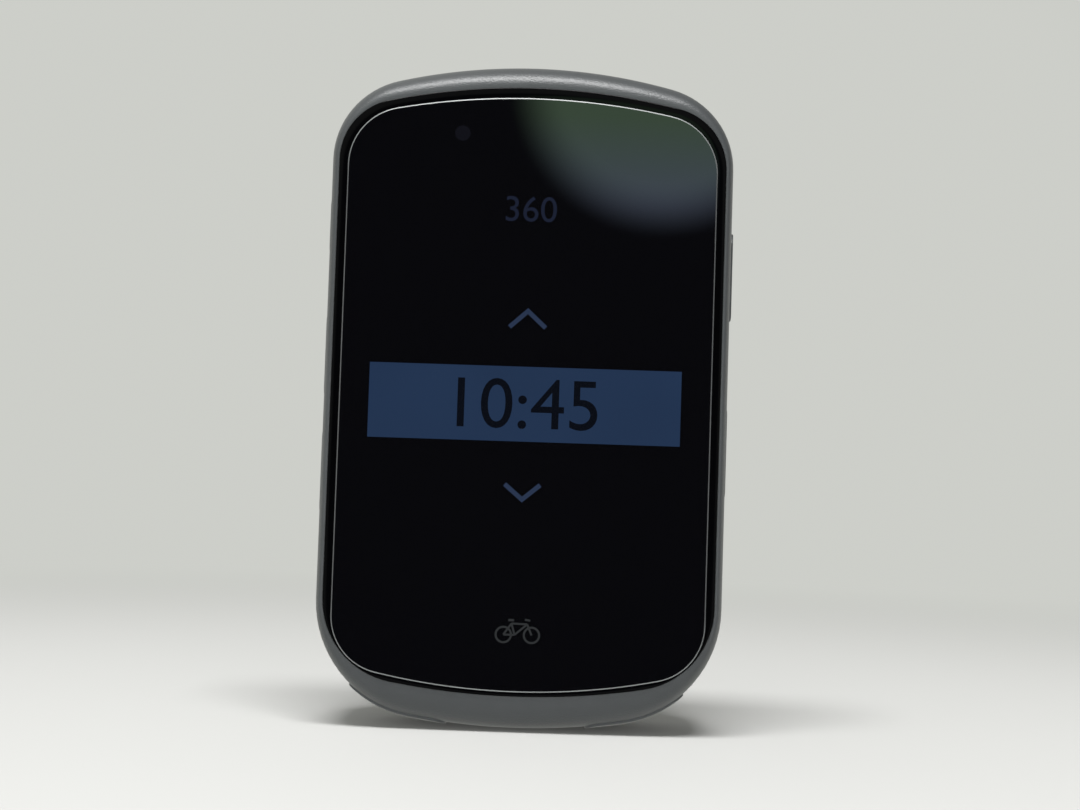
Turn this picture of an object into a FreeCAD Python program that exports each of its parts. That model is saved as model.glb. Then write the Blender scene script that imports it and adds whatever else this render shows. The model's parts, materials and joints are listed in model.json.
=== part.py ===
import FreeCAD, Part
import math
import os
from collections import namedtuple
from FreeCAD import Vector

# A button-operated GPS cycling computer: a barrel-shaped case with a black window across
# its front, seven buttons round its edge and a quarter-turn mount on its back.
# Millimetres. While it is drawn, y is the depth behind the front of the glass, and x and z
# run from the middle of the case outline; write() then moves every piece to the part's own
# frame, whose origin is the centre of the quarter-turn mount's end face.

# ---- overall size ----
WIDTH = 50.0
HEIGHT = 82.2
THICKNESS = 20.0            # front of the glass to the end face of the mount
MOUNT_RISE = 5.0            # the mount's axis stands this far above mid-height
OUT = Vector(0, 1, 0)       # towards the back of the device

# ---- outlines: straight sides, a large arc at each end, and rounded corners ----
Outline = namedtuple("Outline", "half top top_arc top_corner bottom bottom_arc bottom_corner")
WIDEST = Outline(WIDTH / 2, HEIGHT / 2, 69.3, 10.7, -HEIGHT / 2, 77.7, 14.35)
RIM = Outline(23.7, 37.54, 77.9, 7.6, -36.64, 90.5, 10.1)
GLASS = Outline(22.64, 36.22, 85.2, 7.25, -36.1, 82.0, 7.0)
BACK = Outline(21.9, 37.4, 66.0, 8.0, -37.4, 74.0, 11.2)

# ---- depths behind the front of the glass ----
RIM_DEPTH = 0.4             # front edge of the grey housing
LEDGE = 1.3                 # face that the glass is stuck to
LEDGE_BACK = 3.0
WIDEST_DEPTH = 6.0          # where the front rounding ends
PARTING = 8.9
SEAM = 0.1
BACK_ROUNDING = 11.5        # where the rounding of the rear edge starts
BACK_FACE = 16.0
COVER_INSIDE = 14.4
BOSS_FACE = 18.0            # seat of the mount on the rear cover

WALL = 1.6
GAP = 0.12                  # clearance round a moving button
SNUG = 0.03                 # clearance round a fixed piece

# ---- display ----
GLASS_THICK = 1.1
PANEL_HALF = 20.9
PANEL_TOP = 26.6
PANEL_BOTTOM = -30.2
PANEL_FRONT = 1.4
DISPLAY_BACK = 3.8
SENSOR_X = -8.7
SENSOR_Z = 31.6

# ---- buttons ----
KEY_TRAVEL = 0.3
KEY_HEIGHT = 4.4            # across the thickness of the case
KEY_DEPTH = 5.8             # depth of a button's centre line
FLANGE_OUT = WALL + GAP     # flange behind the wall, measured in from the case surface
FLANGE_IN = 2.1
STEM_END = 2.85
STEM_RADIUS = 0.8
CLEAR = 0.05                # left over when a button is fully pressed
SEAL_OUT = FLANGE_IN + KEY_TRAVEL + CLEAR
SEAL_IN = 2.8
DOME_OUT = STEM_END + KEY_TRAVEL + CLEAR
FLEX_OUT = 3.45
FLEX_IN = 3.6
BRACKET_IN = 4.1
DOME_RADIUS = 1.8

Key = namedtuple("Key", "x z length proud")
SIDE_KEYS = {
    "power_button": Key(-1, 20.4, 7.0, 0.1),
    "up_button": Key(-1, 4.2, 10.4, 0.1),
    "down_button": Key(-1, -10.2, 10.4, 0.1),
    "enter_button": Key(1, 15.6, 11.0, 0.25),
    "back_button": Key(1, -6.4, 11.0, 0.1),
}
BOTTOM_KEY_INNER = 9.0      # a bottom button's ends, measured from the middle of the case
BOTTOM_KEY_OUTER = 21.0
BOTTOM_PROUD = 0.1

# ---- boards, battery and screws ----
FRAME_FRONT = 4.0
FRAME_BACK = 4.9
BOARD_FRONT = 9.2
BOARD_BACK = 10.0
BATTERY_HALF = 19.0
BATTERY_TOP = 24.0
BATTERY_BOTTOM = -24.0
BATTERY_FRONT = 10.3
BATTERY_BACK = 14.0
CASE_SCREWS = [(-19.3, 33.6), (19.3, 33.6), (-20.3, -31.0), (20.3, -31.0)]
BOARD_SCREWS = [(-16.0, 28.0), (16.0, 28.0), (-16.0, -28.5), (16.0, -28.5)]
FRAME_SCREWS = [(-13.0, 32.5), (13.0, 32.5), (-8.0, -34.2), (8.0, -34.2)]
M16 = 0.8                   # radii of the screw shanks
M12 = 0.6
M16_HEAD = 1.45
HEAD_BORE = 1.6             # counterbore round the head of an M1.6 screw
CASE_HEAD_SEAT = 13.4
CASE_HEAD = 1.0
CASE_SCREW = 8.0
MOUNT_HEAD_SEAT = 18.9
MOUNT_HEAD = 0.9
MOUNT_SCREW = 3.5
M12_HEAD = 1.2
BOARD_SCREW = 3.4
FRAME_SCREW = 3.0
POST = 2.1                  # radius of a case screw's post

# ---- socket for the charging plug, and its rubber cap ----
SOCKET_DEPTH = 11.3
SOCKET_HALF_X = 3.8
SOCKET_HALF_Y = 1.3
SOCKET_MOUTH = -39.0
CAP_HALF_X = 6.3
CAP_FRONT = 9.85
CAP_FLOOR = -40.1           # floor of the recess that the cap lies in
CAP_AXIS_DEPTH = 13.35      # the cap's living hinge
CAP_BACK = CAP_AXIS_DEPTH - 0.25
CAP_ROOM_BACK = CAP_AXIS_DEPTH + 0.7    # back end of the recess
ANCHOR_HALF = 2.6           # slot that holds the fixed end of the cap's strap
ANCHOR_BACK = 15.0
ANCHOR_TOP = -38.4

# ---- quarter-turn mount and tether hole ----
MOUNT_RADIUS = 12.4
TAB_RADIUS = 15.5
TAB_HALF_ANGLE = 27.0
TAB_FRONT = 18.2
MOUNT_SCREW_CIRCLE = 8.6
TETHER_RADIUS = 0.85
TETHER_DEPTH = 14.75
TETHER_Z = -29.0
TETHER_POCKET_HALF = 4.6
TETHER_POCKET_RISE = 2.2
TETHER_POCKET_FLOOR = 13.2
BRIDGE_HALF = 1.3
VENT_Z = 32.0
VENT_HOLES = (-2.2, 0, 2.2)
VENT_RADIUS = 0.5
MEMBRANE_RADIUS = 3.2
MEMBRANE_THICK = 0.2

# ---- chips on the front face of the main board: x, z, half x, half z, height ----
PROCESSOR = (-6.5, -6, 5, 5, 1.2)
RF_MODULE = (0, 14.5, 3.5, 3.5, 1.1)
WIRELESS_ANTENNA = (-12, 34, 2.5, 1.0, 1.2)
BEEPER = (11, -21, 4.5, 4.5, 3.0)

# ---- shield cans: x0, x1, z0, z1, height ----
CPU_SHIELD = (-15, 1.5, -14, 2, 1.8)
RF_SHIELD = (-9, 9, 8, 21, 1.8)

# ---- larger pieces on the board: x0, x1, z0, z1 ----
GPS_ANTENNA = (-6, 6, 24.9, 36.9)
GPS_ANTENNA_FRONT = 5.2
DISPLAY_CONNECTOR = (-5, 5, -24.4, -21.4)
DISPLAY_CONNECTOR_FRONT = 8.2
BATTERY_CONNECTOR = (9.5, 13.5, 27, 30)
BATTERY_CONNECTOR_BACK = 11.6
PRESSURE_SENSOR_BACK = 10.8
BATTERY_TAPE = (-15, 15, -20, 20)


def inset(outline, d):
    """The parallel outline a distance d further in (or out, if d is negative)."""
    return Outline(outline.half - d, outline.top - d, outline.top_arc - d, outline.top_corner - d,
                   outline.bottom + d, outline.bottom_arc - d, outline.bottom_corner - d)


def between(first, second, f):
    """An outline part of the way from the first to the second."""
    return Outline(*[a + (b - a) * f for a, b in zip(first, second)])


def corner(half, end, arc, radius):
    """Centre of a corner arc, and the point where it meets the end arc, for an end at +z."""
    reach = half - radius
    rise = math.sqrt((arc - radius) ** 2 - reach ** 2)
    centre = (reach, end - arc + rise)
    meet = (reach * arc / (arc - radius), end - arc + rise * arc / (arc - radius))
    return centre, meet


def edges_through(points, depth):
    """Edges through point triples and pairs given as (x, z)."""
    edges = []
    for run in points:
        places = [Vector(x, depth, z) for x, z in run]
        if len(places) == 3:
            edges.append(Part.Arc(*places).toShape())
        else:
            edges.append(Part.makeLine(*places))
    return edges


def middle_of(centre, radius, start, end):
    """The point half-way round the short arc from start to end."""
    dx = start[0] + end[0] - 2 * centre[0]
    dz = start[1] + end[1] - 2 * centre[1]
    scale = radius / math.hypot(dx, dz)
    return (centre[0] + dx * scale, centre[1] + dz * scale)


def flip(point):
    """The same point on the other side of the middle."""
    return (-point[0], point[1])


def outline_wire(o, depth):
    """The closed outline in the plane at a depth."""
    centre, a = corner(o.half, o.top, o.top_arc, o.top_corner)
    b = (o.half, centre[1])
    ab = middle_of(centre, o.top_corner, a, b)
    low, d = corner(o.half, -o.bottom, o.bottom_arc, o.bottom_corner)
    low = (low[0], -low[1])
    d = (d[0], -d[1])
    c = (o.half, low[1])
    cd = middle_of(low, o.bottom_corner, c, d)
    runs = [[flip(a), (0, o.top), a], [a, ab, b], [b, c], [c, cd, d],
            [d, (0, o.bottom), flip(d)], [flip(d), flip(cd), flip(c)],
            [flip(c), flip(b)], [flip(b), flip(ab), flip(a)]]
    return Part.Wire(edges_through(runs, depth))


def slab(outline, front, back):
    """A plate with this outline between two depths."""
    return Part.Face(outline_wire(outline, front)).extrude(Vector(0, back - front, 0))


def ring(outer, inner, front, back):
    return slab(outer, front, back).cut(slab(inner, front - 1, back + 1))


def block(x0, x1, y0, y1, z0, z1):
    return Part.makeBox(x1 - x0, y1 - y0, z1 - z0, Vector(x0, y0, z0))


def rod(x, z, radius, front, back):
    """A cylinder that runs through the thickness of the device."""
    return Part.makeCylinder(radius, back - front, Vector(x, front, z), OUT)


def rounded(shape, radius, direction):
    """Round the edges of a shape that run along a direction."""
    edges = []
    for edge in shape.Edges:
        if len(edge.Vertexes) != 2:
            continue
        run = (edge.Vertexes[1].Point - edge.Vertexes[0].Point).normalize()
        if abs(run.dot(direction)) > 0.999:
            edges.append(edge)
    return shape.makeFillet(radius, edges)


# ---- the case surface ----

def front_body(grow=0.0):
    """The front half of the case as a solid: a rounded shoulder, then straight sides."""
    steps = 6
    sections = []
    for i in range(steps + 1):
        t = math.radians(90.0 * i / steps)
        depth = WIDEST_DEPTH - (WIDEST_DEPTH - RIM_DEPTH) * math.cos(t)
        shape = between(WIDEST, inset(RIM, -0.15), 1 - math.sin(t))
        sections.append(outline_wire(inset(shape, -grow), depth))
    shoulder = Part.makeLoft(sections, True, False)
    return shoulder.fuse(slab(inset(WIDEST, -grow), WIDEST_DEPTH, PARTING))


def rear_body(shrink, front, end):
    """The rear half as a solid: straight sides, then a rounded edge to the flat back."""
    steps = 6
    sections = []
    for i in range(steps + 1):
        t = math.radians(90.0 * i / steps)
        depth = BACK_ROUNDING + (end - BACK_ROUNDING) * math.sin(t)
        shape = between(WIDEST, BACK, 1 - math.cos(t))
        sections.append(outline_wire(inset(shape, shrink), depth))
    edge = Part.makeLoft(sections, True, False)
    return edge.fuse(slab(inset(WIDEST, shrink), front, BACK_ROUNDING))


# ---- buttons ----

def bottom_point(x):
    """Point of the widest outline under a given x, between the middle and a side."""
    o = WIDEST
    centre, meet = corner(o.half, -o.bottom, o.bottom_arc, o.bottom_corner)
    if abs(x) <= meet[0]:
        return o.bottom + o.bottom_arc - math.sqrt(o.bottom_arc ** 2 - x ** 2)
    across = abs(x) - centre[0]
    return -centre[1] - math.sqrt(o.bottom_corner ** 2 - across ** 2)


def key_places():
    """For each button: point on the case surface, inward direction, length and proud height."""
    places = {}
    for name, key in SIDE_KEYS.items():
        surface = Vector(key.x * WIDEST.half, KEY_DEPTH, key.z)
        places[name] = (surface, Vector(-key.x, 0, 0), key.length, key.proud)
    inner = bottom_point(BOTTOM_KEY_INNER)
    outer = bottom_point(BOTTOM_KEY_OUTER)
    for name, side in (("lap_button", -1), ("start_button", 1)):
        along = Vector(BOTTOM_KEY_OUTER - BOTTOM_KEY_INNER, 0, outer - inner)
        length = along.Length
        along.normalize()
        inward = Vector(-along.z * side, 0, along.x)
        middle_x = (BOTTOM_KEY_OUTER + BOTTOM_KEY_INNER) / 2
        surface = Vector(side * middle_x, KEY_DEPTH, bottom_point(middle_x))
        places[name] = (surface, inward, length, BOTTOM_PROUD)
    return places


def stadium(surface, inward, length, height, start, end):
    """A bar of stadium section through the wall, between two distances in from the surface."""
    along = Vector(inward.z, 0, -inward.x)
    up = Vector(0, 1, 0)
    r = height / 2
    half = length / 2 - r
    origin = surface + inward * start

    def at(a, u):
        return origin + along * a + up * u

    edges = [Part.makeLine(at(-half, -r), at(half, -r)),
             Part.Arc(at(half, -r), at(half + r, 0), at(half, r)).toShape(),
             Part.makeLine(at(half, r), at(-half, r)),
             Part.Arc(at(-half, r), at(-half - r, 0), at(-half, -r)).toShape()]
    return Part.Face(Part.Wire(edges)).extrude(inward * (end - start))


def button(place):
    """Cap through the wall, a flange that keeps it in, and a stem that reaches the switch."""
    surface, inward, length, proud = place
    core = slab(inset(WIDEST, FLANGE_IN), 0, PARTING)
    cap = stadium(surface, inward, length, KEY_HEIGHT, -2, 5).common(front_body(proud)).cut(core)
    under_wall = ring(inset(WIDEST, FLANGE_OUT), inset(WIDEST, FLANGE_IN), LEDGE_BACK, PARTING)
    flange = stadium(surface, inward, length + 1.0, KEY_HEIGHT + 0.8, -2, 5).common(under_wall)
    stem = Part.makeCylinder(STEM_RADIUS, STEM_END - WALL, surface + inward * WALL, inward)
    return cap.fuse([flange, stem]).removeSplitter()


def key_windows(places):
    """The openings in the wall of the front housing, one round each button."""
    cuts = []
    for surface, inward, length, _ in places.values():
        cuts.append(stadium(surface, inward, length + 2 * GAP, KEY_HEIGHT + 2 * GAP, -2, 4.5))
    return cuts


def edge_strip(first, second, region, front, back):
    """A strip that follows the case outline between two distances in, inside a region."""
    band = ring(inset(WIDEST, first), inset(WIDEST, second), front, back)
    return band.common(region)


def key_regions():
    """The stretches of the case edge that the three rows of buttons take."""
    return {
        "left": block(-26, 0, 0, 20, -17.0, 25.5),
        "right": block(0, 26, 0, 20, -13.5, 22.8),
        "bottom": block(-24, 24, 0, 20, -42, -33.7),
    }


def keys_on(row, places):
    names = {
        "left": ["power_button", "up_button", "down_button"],
        "right": ["enter_button", "back_button"],
        "bottom": ["lap_button", "start_button"],
    }
    return [places[name] for name in names[row]]


def key_seal(row, places):
    """Silicone strip behind a row of buttons, with a hole for each stem."""
    strip = edge_strip(SEAL_OUT, SEAL_IN, key_regions()[row], 3.3, 8.3)
    for surface, inward, _, _ in keys_on(row, places):
        strip = strip.cut(Part.makeCylinder(STEM_RADIUS + GAP, 6, surface, inward))
    return strip


def key_domes(row, places):
    """Snap domes, one under each button."""
    core = slab(inset(WIDEST, FLEX_OUT - 0.01), 0, PARTING)
    domes = []
    for surface, inward, _, _ in keys_on(row, places):
        low = surface + inward * DOME_OUT
        domes.append(Part.makeCone(0.9, DOME_RADIUS, FLEX_OUT - DOME_OUT, low, inward).cut(core))
    return Part.makeCompound(domes)


def key_flex(row):
    """Printed strip that carries the domes, with a tail that reaches the main board."""
    strip = edge_strip(FLEX_OUT, FLEX_IN, key_regions()[row], 3.4, 8.2)
    tails = {
        "left": block(-26, 0, 7, 20, -4.0, 1.0),
        "right": block(0, 26, 7, 20, 0.5, 5.5),
        "bottom": block(-2.5, 2.5, 7, 20, -42, -30),
    }
    return strip.fuse(edge_strip(FLEX_OUT, FLEX_IN, tails[row], 7.5, BOARD_FRONT - SNUG))


def key_bracket(row):
    """Steel strip that backs the printed strip."""
    return edge_strip(FLEX_IN + 0.02, BRACKET_IN, key_regions()[row], 3.4, 8.2)


# ---- case ----

def front_housing(places):
    body = front_body()
    body = body.cut(slab(RIM, 0, LEDGE))
    body = body.cut(slab(inset(WIDEST, WALL), LEDGE_BACK, PARTING + 1))
    window = block(-PANEL_HALF - 0.3, PANEL_HALF + 0.3, 0, 5, PANEL_BOTTOM - 0.3, PANEL_TOP + 0.3)
    body = body.cut(window)
    inside = slab(inset(WIDEST, 1.0), LEDGE_BACK - 0.2, PARTING)
    posts = []
    for x, z in CASE_SCREWS:
        start = LEDGE_BACK - 0.2 if z > 0 else DISPLAY_BACK + 0.5
        web = block(min(x, x * 1.15), max(x, x * 1.15), start, PARTING, z - 1.0, z + 1.0)
        posts.append(rod(x, z, POST, start, PARTING).fuse(web).common(inside))
    body = body.fuse(posts)
    for x, z in CASE_SCREWS:
        body = body.cut(rod(x, z, M16 + SNUG, 4.9, PARTING + 1))
    for x, z in FRAME_SCREWS:
        body = body.cut(rod(x, z, M12 + SNUG, 1.6, LEDGE_BACK + 1))
    body = body.cut(rod(SENSOR_X, SENSOR_Z, 1.1, 0, LEDGE_BACK + 1))
    return body.cut(key_windows(places)).removeSplitter()


def inner_bezel():
    """Gloss black ring between the glass and the grey housing, chamfered at its outer edge."""
    plain = ring(inset(RIM, SNUG), inset(GLASS, -SNUG), 0.1, LEDGE - 0.02)
    rim_wire = outline_wire(inset(RIM, SNUG + 0.35), 0.1)
    edge_wire = outline_wire(inset(RIM, SNUG), 0.4)
    taper = Part.makeLoft([rim_wire, edge_wire], True, True)
    body = taper.fuse(slab(inset(RIM, SNUG), 0.4, LEDGE - 0.02))
    return plain.common(body)


def lens_glass():
    """Cover glass with its front edge eased."""
    front = outline_wire(inset(GLASS, 0.2), 0.0)
    edge = outline_wire(GLASS, 0.2)
    eased = Part.makeLoft([front, edge], True, True)
    return eased.fuse(slab(GLASS, 0.2, GLASS_THICK)).removeSplitter()


def lens_adhesive():
    """Tape frame that holds the glass and keeps water out."""
    window = block(-PANEL_HALF - 0.3, PANEL_HALF + 0.3, 0, 5, PANEL_BOTTOM - 0.3, PANEL_TOP + 0.3)
    tape = slab(inset(GLASS, 0.15), GLASS_THICK + 0.01, LEDGE - 0.01).cut(window)
    return tape.cut(rod(SENSOR_X, SENSOR_Z, 1.1, 0, 4))


def gasket_ring(grow, front, back):
    return ring(inset(WIDEST, 0.5 - grow), inset(WIDEST, 1.15 + grow), front, back)


def rear_cover():
    front = PARTING + SEAM
    body = rear_body(0.0, front, BACK_FACE)
    body = body.fuse(rod(0, MOUNT_RISE, MOUNT_RADIUS, BACK_FACE - 1, BOSS_FACE))
    cavity = rear_body(WALL, front - 1, COVER_INSIDE)
    posts = [rod(x, z, POST, front, BACK_FACE).common(cavity) for x, z in CASE_SCREWS]
    tether_block = block(-5.6, 5.6, 11.9, COVER_INSIDE + 0.5, TETHER_Z - 3.2, TETHER_Z + 3.2)
    body = body.cut(cavity).fuse(posts + [tether_block])
    body = body.cut(gasket_ring(0.05, front - 1, front + 0.4))
    for x, z in CASE_SCREWS:
        body = body.cut(rod(x, z, M16 + 0.1, 8, 20)).cut(rod(x, z, HEAD_BORE, CASE_HEAD_SEAT, 20))
    return cut_mount_holes(cut_socket(cut_tether(cut_vents(body)))).removeSplitter()


def cut_tether(body):
    """A pocket in the back, crossed by a bridge that a tether cord passes under."""
    pocket = rounded(block(-TETHER_POCKET_HALF, TETHER_POCKET_HALF, TETHER_POCKET_FLOOR, 17,
                           TETHER_Z - TETHER_POCKET_RISE, TETHER_Z + TETHER_POCKET_RISE), 1.4, OUT)
    bridge = block(-BRIDGE_HALF, BRIDGE_HALF, 13.0, BACK_FACE, TETHER_Z - 3, TETHER_Z + 3)
    start = Vector(-TETHER_POCKET_HALF, TETHER_DEPTH, TETHER_Z)
    hole = Part.makeCylinder(TETHER_RADIUS, 2 * TETHER_POCKET_HALF, start, Vector(1, 0, 0))
    return body.cut(pocket.cut(bridge)).cut(hole)


def cut_vents(body):
    """Three small air holes for the pressure sensor."""
    for x in VENT_HOLES:
        body = body.cut(rod(x, VENT_Z, VENT_RADIUS, 13, 17))
    return body


def cut_socket(body):
    """The charging socket's window, the cap's recess, and the slot of the cap's anchor."""
    half_y = SOCKET_HALF_Y + 0.15
    window = block(-SOCKET_HALF_X - 0.2, SOCKET_HALF_X + 0.2, SOCKET_DEPTH - half_y,
                   SOCKET_DEPTH + half_y, -42, -37)
    recess = block(-CAP_HALF_X - GAP, CAP_HALF_X + GAP, CAP_FRONT - GAP, CAP_ROOM_BACK,
                   -42, CAP_FLOOR)
    anchor = block(-ANCHOR_HALF, ANCHOR_HALF, CAP_ROOM_BACK - 0.05, ANCHOR_BACK, -42, ANCHOR_TOP)
    return body.cut(window).cut(rounded(recess, 0.8, Vector(0, 0, 1))).cut(anchor)


def mount_screw_places():
    places = []
    for angle in (45, 135, 225, 315):
        a = math.radians(angle)
        places.append((MOUNT_SCREW_CIRCLE * math.cos(a), MOUNT_RISE + MOUNT_SCREW_CIRCLE * math.sin(a)))
    return places


def cut_mount_holes(body):
    for x, z in mount_screw_places():
        body = body.cut(rod(x, z, M16 + SNUG, 15.2, 20))
    return body


def perimeter_seal():
    return gasket_ring(0.0, PARTING + 0.01, PARTING + SEAM + 0.38)


def quarter_turn_mount():
    """Disc with two bayonet tabs, one to each side, screwed to the rear cover."""
    disc = rod(0, MOUNT_RISE, MOUNT_RADIUS, BOSS_FACE + 0.01, THICKNESS)
    reach = 2 * TAB_RADIUS
    spread = reach * math.tan(math.radians(TAB_HALF_ANGLE))
    left, right = ([Vector(0, TAB_FRONT, MOUNT_RISE),
                    Vector(side * reach, TAB_FRONT, MOUNT_RISE - spread),
                    Vector(side * reach, TAB_FRONT, MOUNT_RISE + spread),
                    Vector(0, TAB_FRONT, MOUNT_RISE)] for side in (-1, 1))
    tabs = rod(0, MOUNT_RISE, TAB_RADIUS, TAB_FRONT, THICKNESS)
    wedges = [Part.Face(Part.makePolygon(run)).extrude(Vector(0, 2, 0)) for run in (left, right)]
    body = disc.fuse([tabs.common(wedge) for wedge in wedges]).removeSplitter()
    for x, z in mount_screw_places():
        body = body.cut(rod(x, z, M16 + 0.1, 17, 21)).cut(rod(x, z, HEAD_BORE, MOUNT_HEAD_SEAT, 21))
    return body


# ---- display stack ----

def display_panel():
    return block(-PANEL_HALF, PANEL_HALF, PANEL_FRONT, 2.4, PANEL_BOTTOM, PANEL_TOP)


def backlight():
    edge = 0.35
    return block(-PANEL_HALF + edge, PANEL_HALF - edge, 2.42, 3.5, PANEL_BOTTOM + edge, PANEL_TOP - edge)


def display_frame():
    """Steel tray that holds the panel and its light guide."""
    sheet = 0.25
    tray = block(-PANEL_HALF, PANEL_HALF, 2.42, DISPLAY_BACK, PANEL_BOTTOM, PANEL_TOP)
    return tray.cut(block(-PANEL_HALF + sheet, PANEL_HALF - sheet, 2, DISPLAY_BACK - sheet,
                          PANEL_BOTTOM + sheet, PANEL_TOP - sheet))


def display_foam():
    """Foam frame that presses the display forward."""
    outer = block(-19, 19, DISPLAY_BACK + 0.01, FRAME_FRONT - 0.01, -24, 24)
    return outer.cut(block(-16, 16, 3, 5, -21, 21))


def swept(points, radius, section):
    """A section carried along straight runs joined by arcs."""
    edges = []
    start = points[0]
    for before, here, after in zip(points, points[1:], points[2:]):
        back = (before - here).normalize()
        ahead = (after - here).normalize()
        half = back.getAngle(ahead) / 2
        reach = radius / math.tan(half)
        a = here + back * reach
        b = here + ahead * reach
        bisector = (back + ahead).normalize()
        middle = here + bisector * (radius / math.sin(half) - radius)
        edges.append(Part.makeLine(start, a))
        edges.append(Part.Arc(a, middle, b).toShape())
        start = b
    edges.append(Part.makeLine(start, points[-1]))
    return Part.Wire(edges).makePipeShell([section], True, False)


def display_flex():
    """Printed strip from the display, through the frame, to the main board."""
    half = 4.5
    front, low, high = 3.9, -29.6, -25.2
    path = [Vector(0, front, low), Vector(0, front, high), Vector(0, 8.7, high), Vector(0, 8.7, -24.45)]
    thick = 0.05
    section = Part.makePolygon([Vector(-half, front - thick, low), Vector(half, front - thick, low),
                                Vector(half, front + thick, low), Vector(-half, front + thick, low),
                                Vector(-half, front - thick, low)])
    return swept(path, 0.4, section)


def light_sensor():
    return block(SENSOR_X - 1.2, SENSOR_X + 1.2, LEDGE_BACK + 0.1, FRAME_FRONT, SENSOR_Z - 1.2, SENSOR_Z + 1.2)


def light_pipe():
    """Clear pin that carries daylight from the glass to the light sensor."""
    return rod(SENSOR_X, SENSOR_Z, 1.05, GLASS_THICK + 0.05, LEDGE_BACK + 0.08)


# ---- frame and main board ----

def mid_frame():
    """Plate that carries the display on one side and the main board on the other."""
    plate = slab(inset(WIDEST, BRACKET_IN + 0.1), FRAME_FRONT, FRAME_BACK)
    pads = [rod(x, z, 1.9, LEDGE_BACK + 0.02, FRAME_FRONT) for x, z in FRAME_SCREWS]
    columns = [rod(x, z, 1.7, FRAME_BACK, BOARD_FRONT - 0.02) for x, z in BOARD_SCREWS]
    body = plate.fuse(pads + columns)
    for x, z in CASE_SCREWS:
        body = body.cut(rod(x, z, 2.4, 0, 10))
    for x, z in FRAME_SCREWS:
        body = body.cut(rod(x, z, M12 + 0.1, 2, 6))
    for x, z in BOARD_SCREWS:
        body = body.cut(rod(x, z, M12 + SNUG, 5.6, 10))
    antenna_window = block(-6.4, 6.4, 3, 6, 24.5, 37.3)
    flex_slot = block(-5.0, 5.0, 3, 6, -26.4, -23.8)
    web_slots = [block(x - 5, x + 5, 3, 6, z - 3, z + 3) for x in (-9, 9) for z in (-9, 4)]
    return body.cut(antenna_window).cut(flex_slot).cut(rounded_holes(web_slots)).removeSplitter()


def rounded_holes(blocks):
    return Part.makeCompound([rounded(b, 1.5, OUT) for b in blocks])


def main_board():
    board = slab(inset(WIDEST, 2.2), BOARD_FRONT, BOARD_BACK)
    for x, z in CASE_SCREWS:
        board = board.cut(rod(x, z, 2.5, 8, 11))
    for x, z in BOARD_SCREWS:
        board = board.cut(rod(x, z, M12 + 0.1, 8, 11))
    return board.cut(block(-5.2, 5.2, 8, 11, -42, -37.9))


def shield_can(x0, x1, z0, z1, height):
    """Sheet metal lid, open towards the board."""
    sheet = 0.2
    front = BOARD_FRONT - height
    outer = block(x0, x1, front, BOARD_FRONT - 0.01, z0, z1)
    return outer.cut(block(x0 + sheet, x1 - sheet, front + sheet, BOARD_FRONT, z0 + sheet, z1 - sheet))


def chip(x, z, half_x, half_z, height):
    return block(x - half_x, x + half_x, BOARD_FRONT - height, BOARD_FRONT - 0.01, z - half_z, z + half_z)


def on_front_of_board(footprint, front):
    """A block on the main board's front face, from its x and z limits."""
    x0, x1, z0, z1 = footprint
    return block(x0, x1, front, BOARD_FRONT - 0.01, z0, z1)


def on_back_of_board(footprint, back):
    x0, x1, z0, z1 = footprint
    return block(x0, x1, BOARD_BACK + 0.01, back, z0, z1)


def battery():
    pouch = block(-BATTERY_HALF, BATTERY_HALF, BATTERY_FRONT, BATTERY_BACK, BATTERY_BOTTOM, BATTERY_TOP)
    return rounded(pouch, 1.2, Vector(0, 0, 1))


def battery_lead():
    """Red and black wires from the battery's top edge to its connector."""
    wires = []
    radius = 0.4
    for x in (10.9, 12.1):
        start = Vector(x, 12.4, BATTERY_TOP + 0.01)
        path = [start, Vector(x, 12.4, 25.3), Vector(x, 10.8, 25.9), Vector(x, 10.8, 26.98)]
        section = Part.Wire(Part.makeCircle(radius, start, Vector(0, 0, 1)))
        wires.append(swept(path, 0.45, section))
    return Part.makeCompound(wires)


def usb_socket():
    """Metal shell of the charging socket with its contact tongue."""
    shell = 0.3
    y0, y1 = SOCKET_DEPTH - SOCKET_HALF_Y + 0.01, SOCKET_DEPTH + SOCKET_HALF_Y
    body = block(-SOCKET_HALF_X, SOCKET_HALF_X, y0, y1, SOCKET_MOUTH, SOCKET_MOUTH + 5.2)
    body = rounded(body, 0.7, Vector(0, 0, 1))
    hollow = block(-SOCKET_HALF_X + shell, SOCKET_HALF_X - shell, y0 + shell, y1 - shell,
                   SOCKET_MOUTH - 1, SOCKET_MOUTH + 4.6)
    tongue = block(-1.9, 1.9, SOCKET_DEPTH + 0.1, SOCKET_DEPTH + 0.6, SOCKET_MOUTH + 0.7, SOCKET_MOUTH + 5)
    return body.cut(rounded(hollow, 0.5, Vector(0, 0, 1))).fuse(tongue)


def usb_seal():
    """Rubber collar between the socket and the wall of the case."""
    outer = block(-4.9, 4.9, SOCKET_DEPTH - 2.05, SOCKET_DEPTH + 2.05, -39.46, -38.1)
    inner = block(-SOCKET_HALF_X - SNUG, SOCKET_HALF_X + SNUG, SOCKET_DEPTH - SOCKET_HALF_Y - SNUG,
                  SOCKET_DEPTH + SOCKET_HALF_Y + SNUG, -40, -38)
    room = rear_body(WALL + SNUG, PARTING, COVER_INSIDE - SNUG)
    return rounded(outer, 1.2, Vector(0, 0, 1)).common(room).cut(inner)


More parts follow.
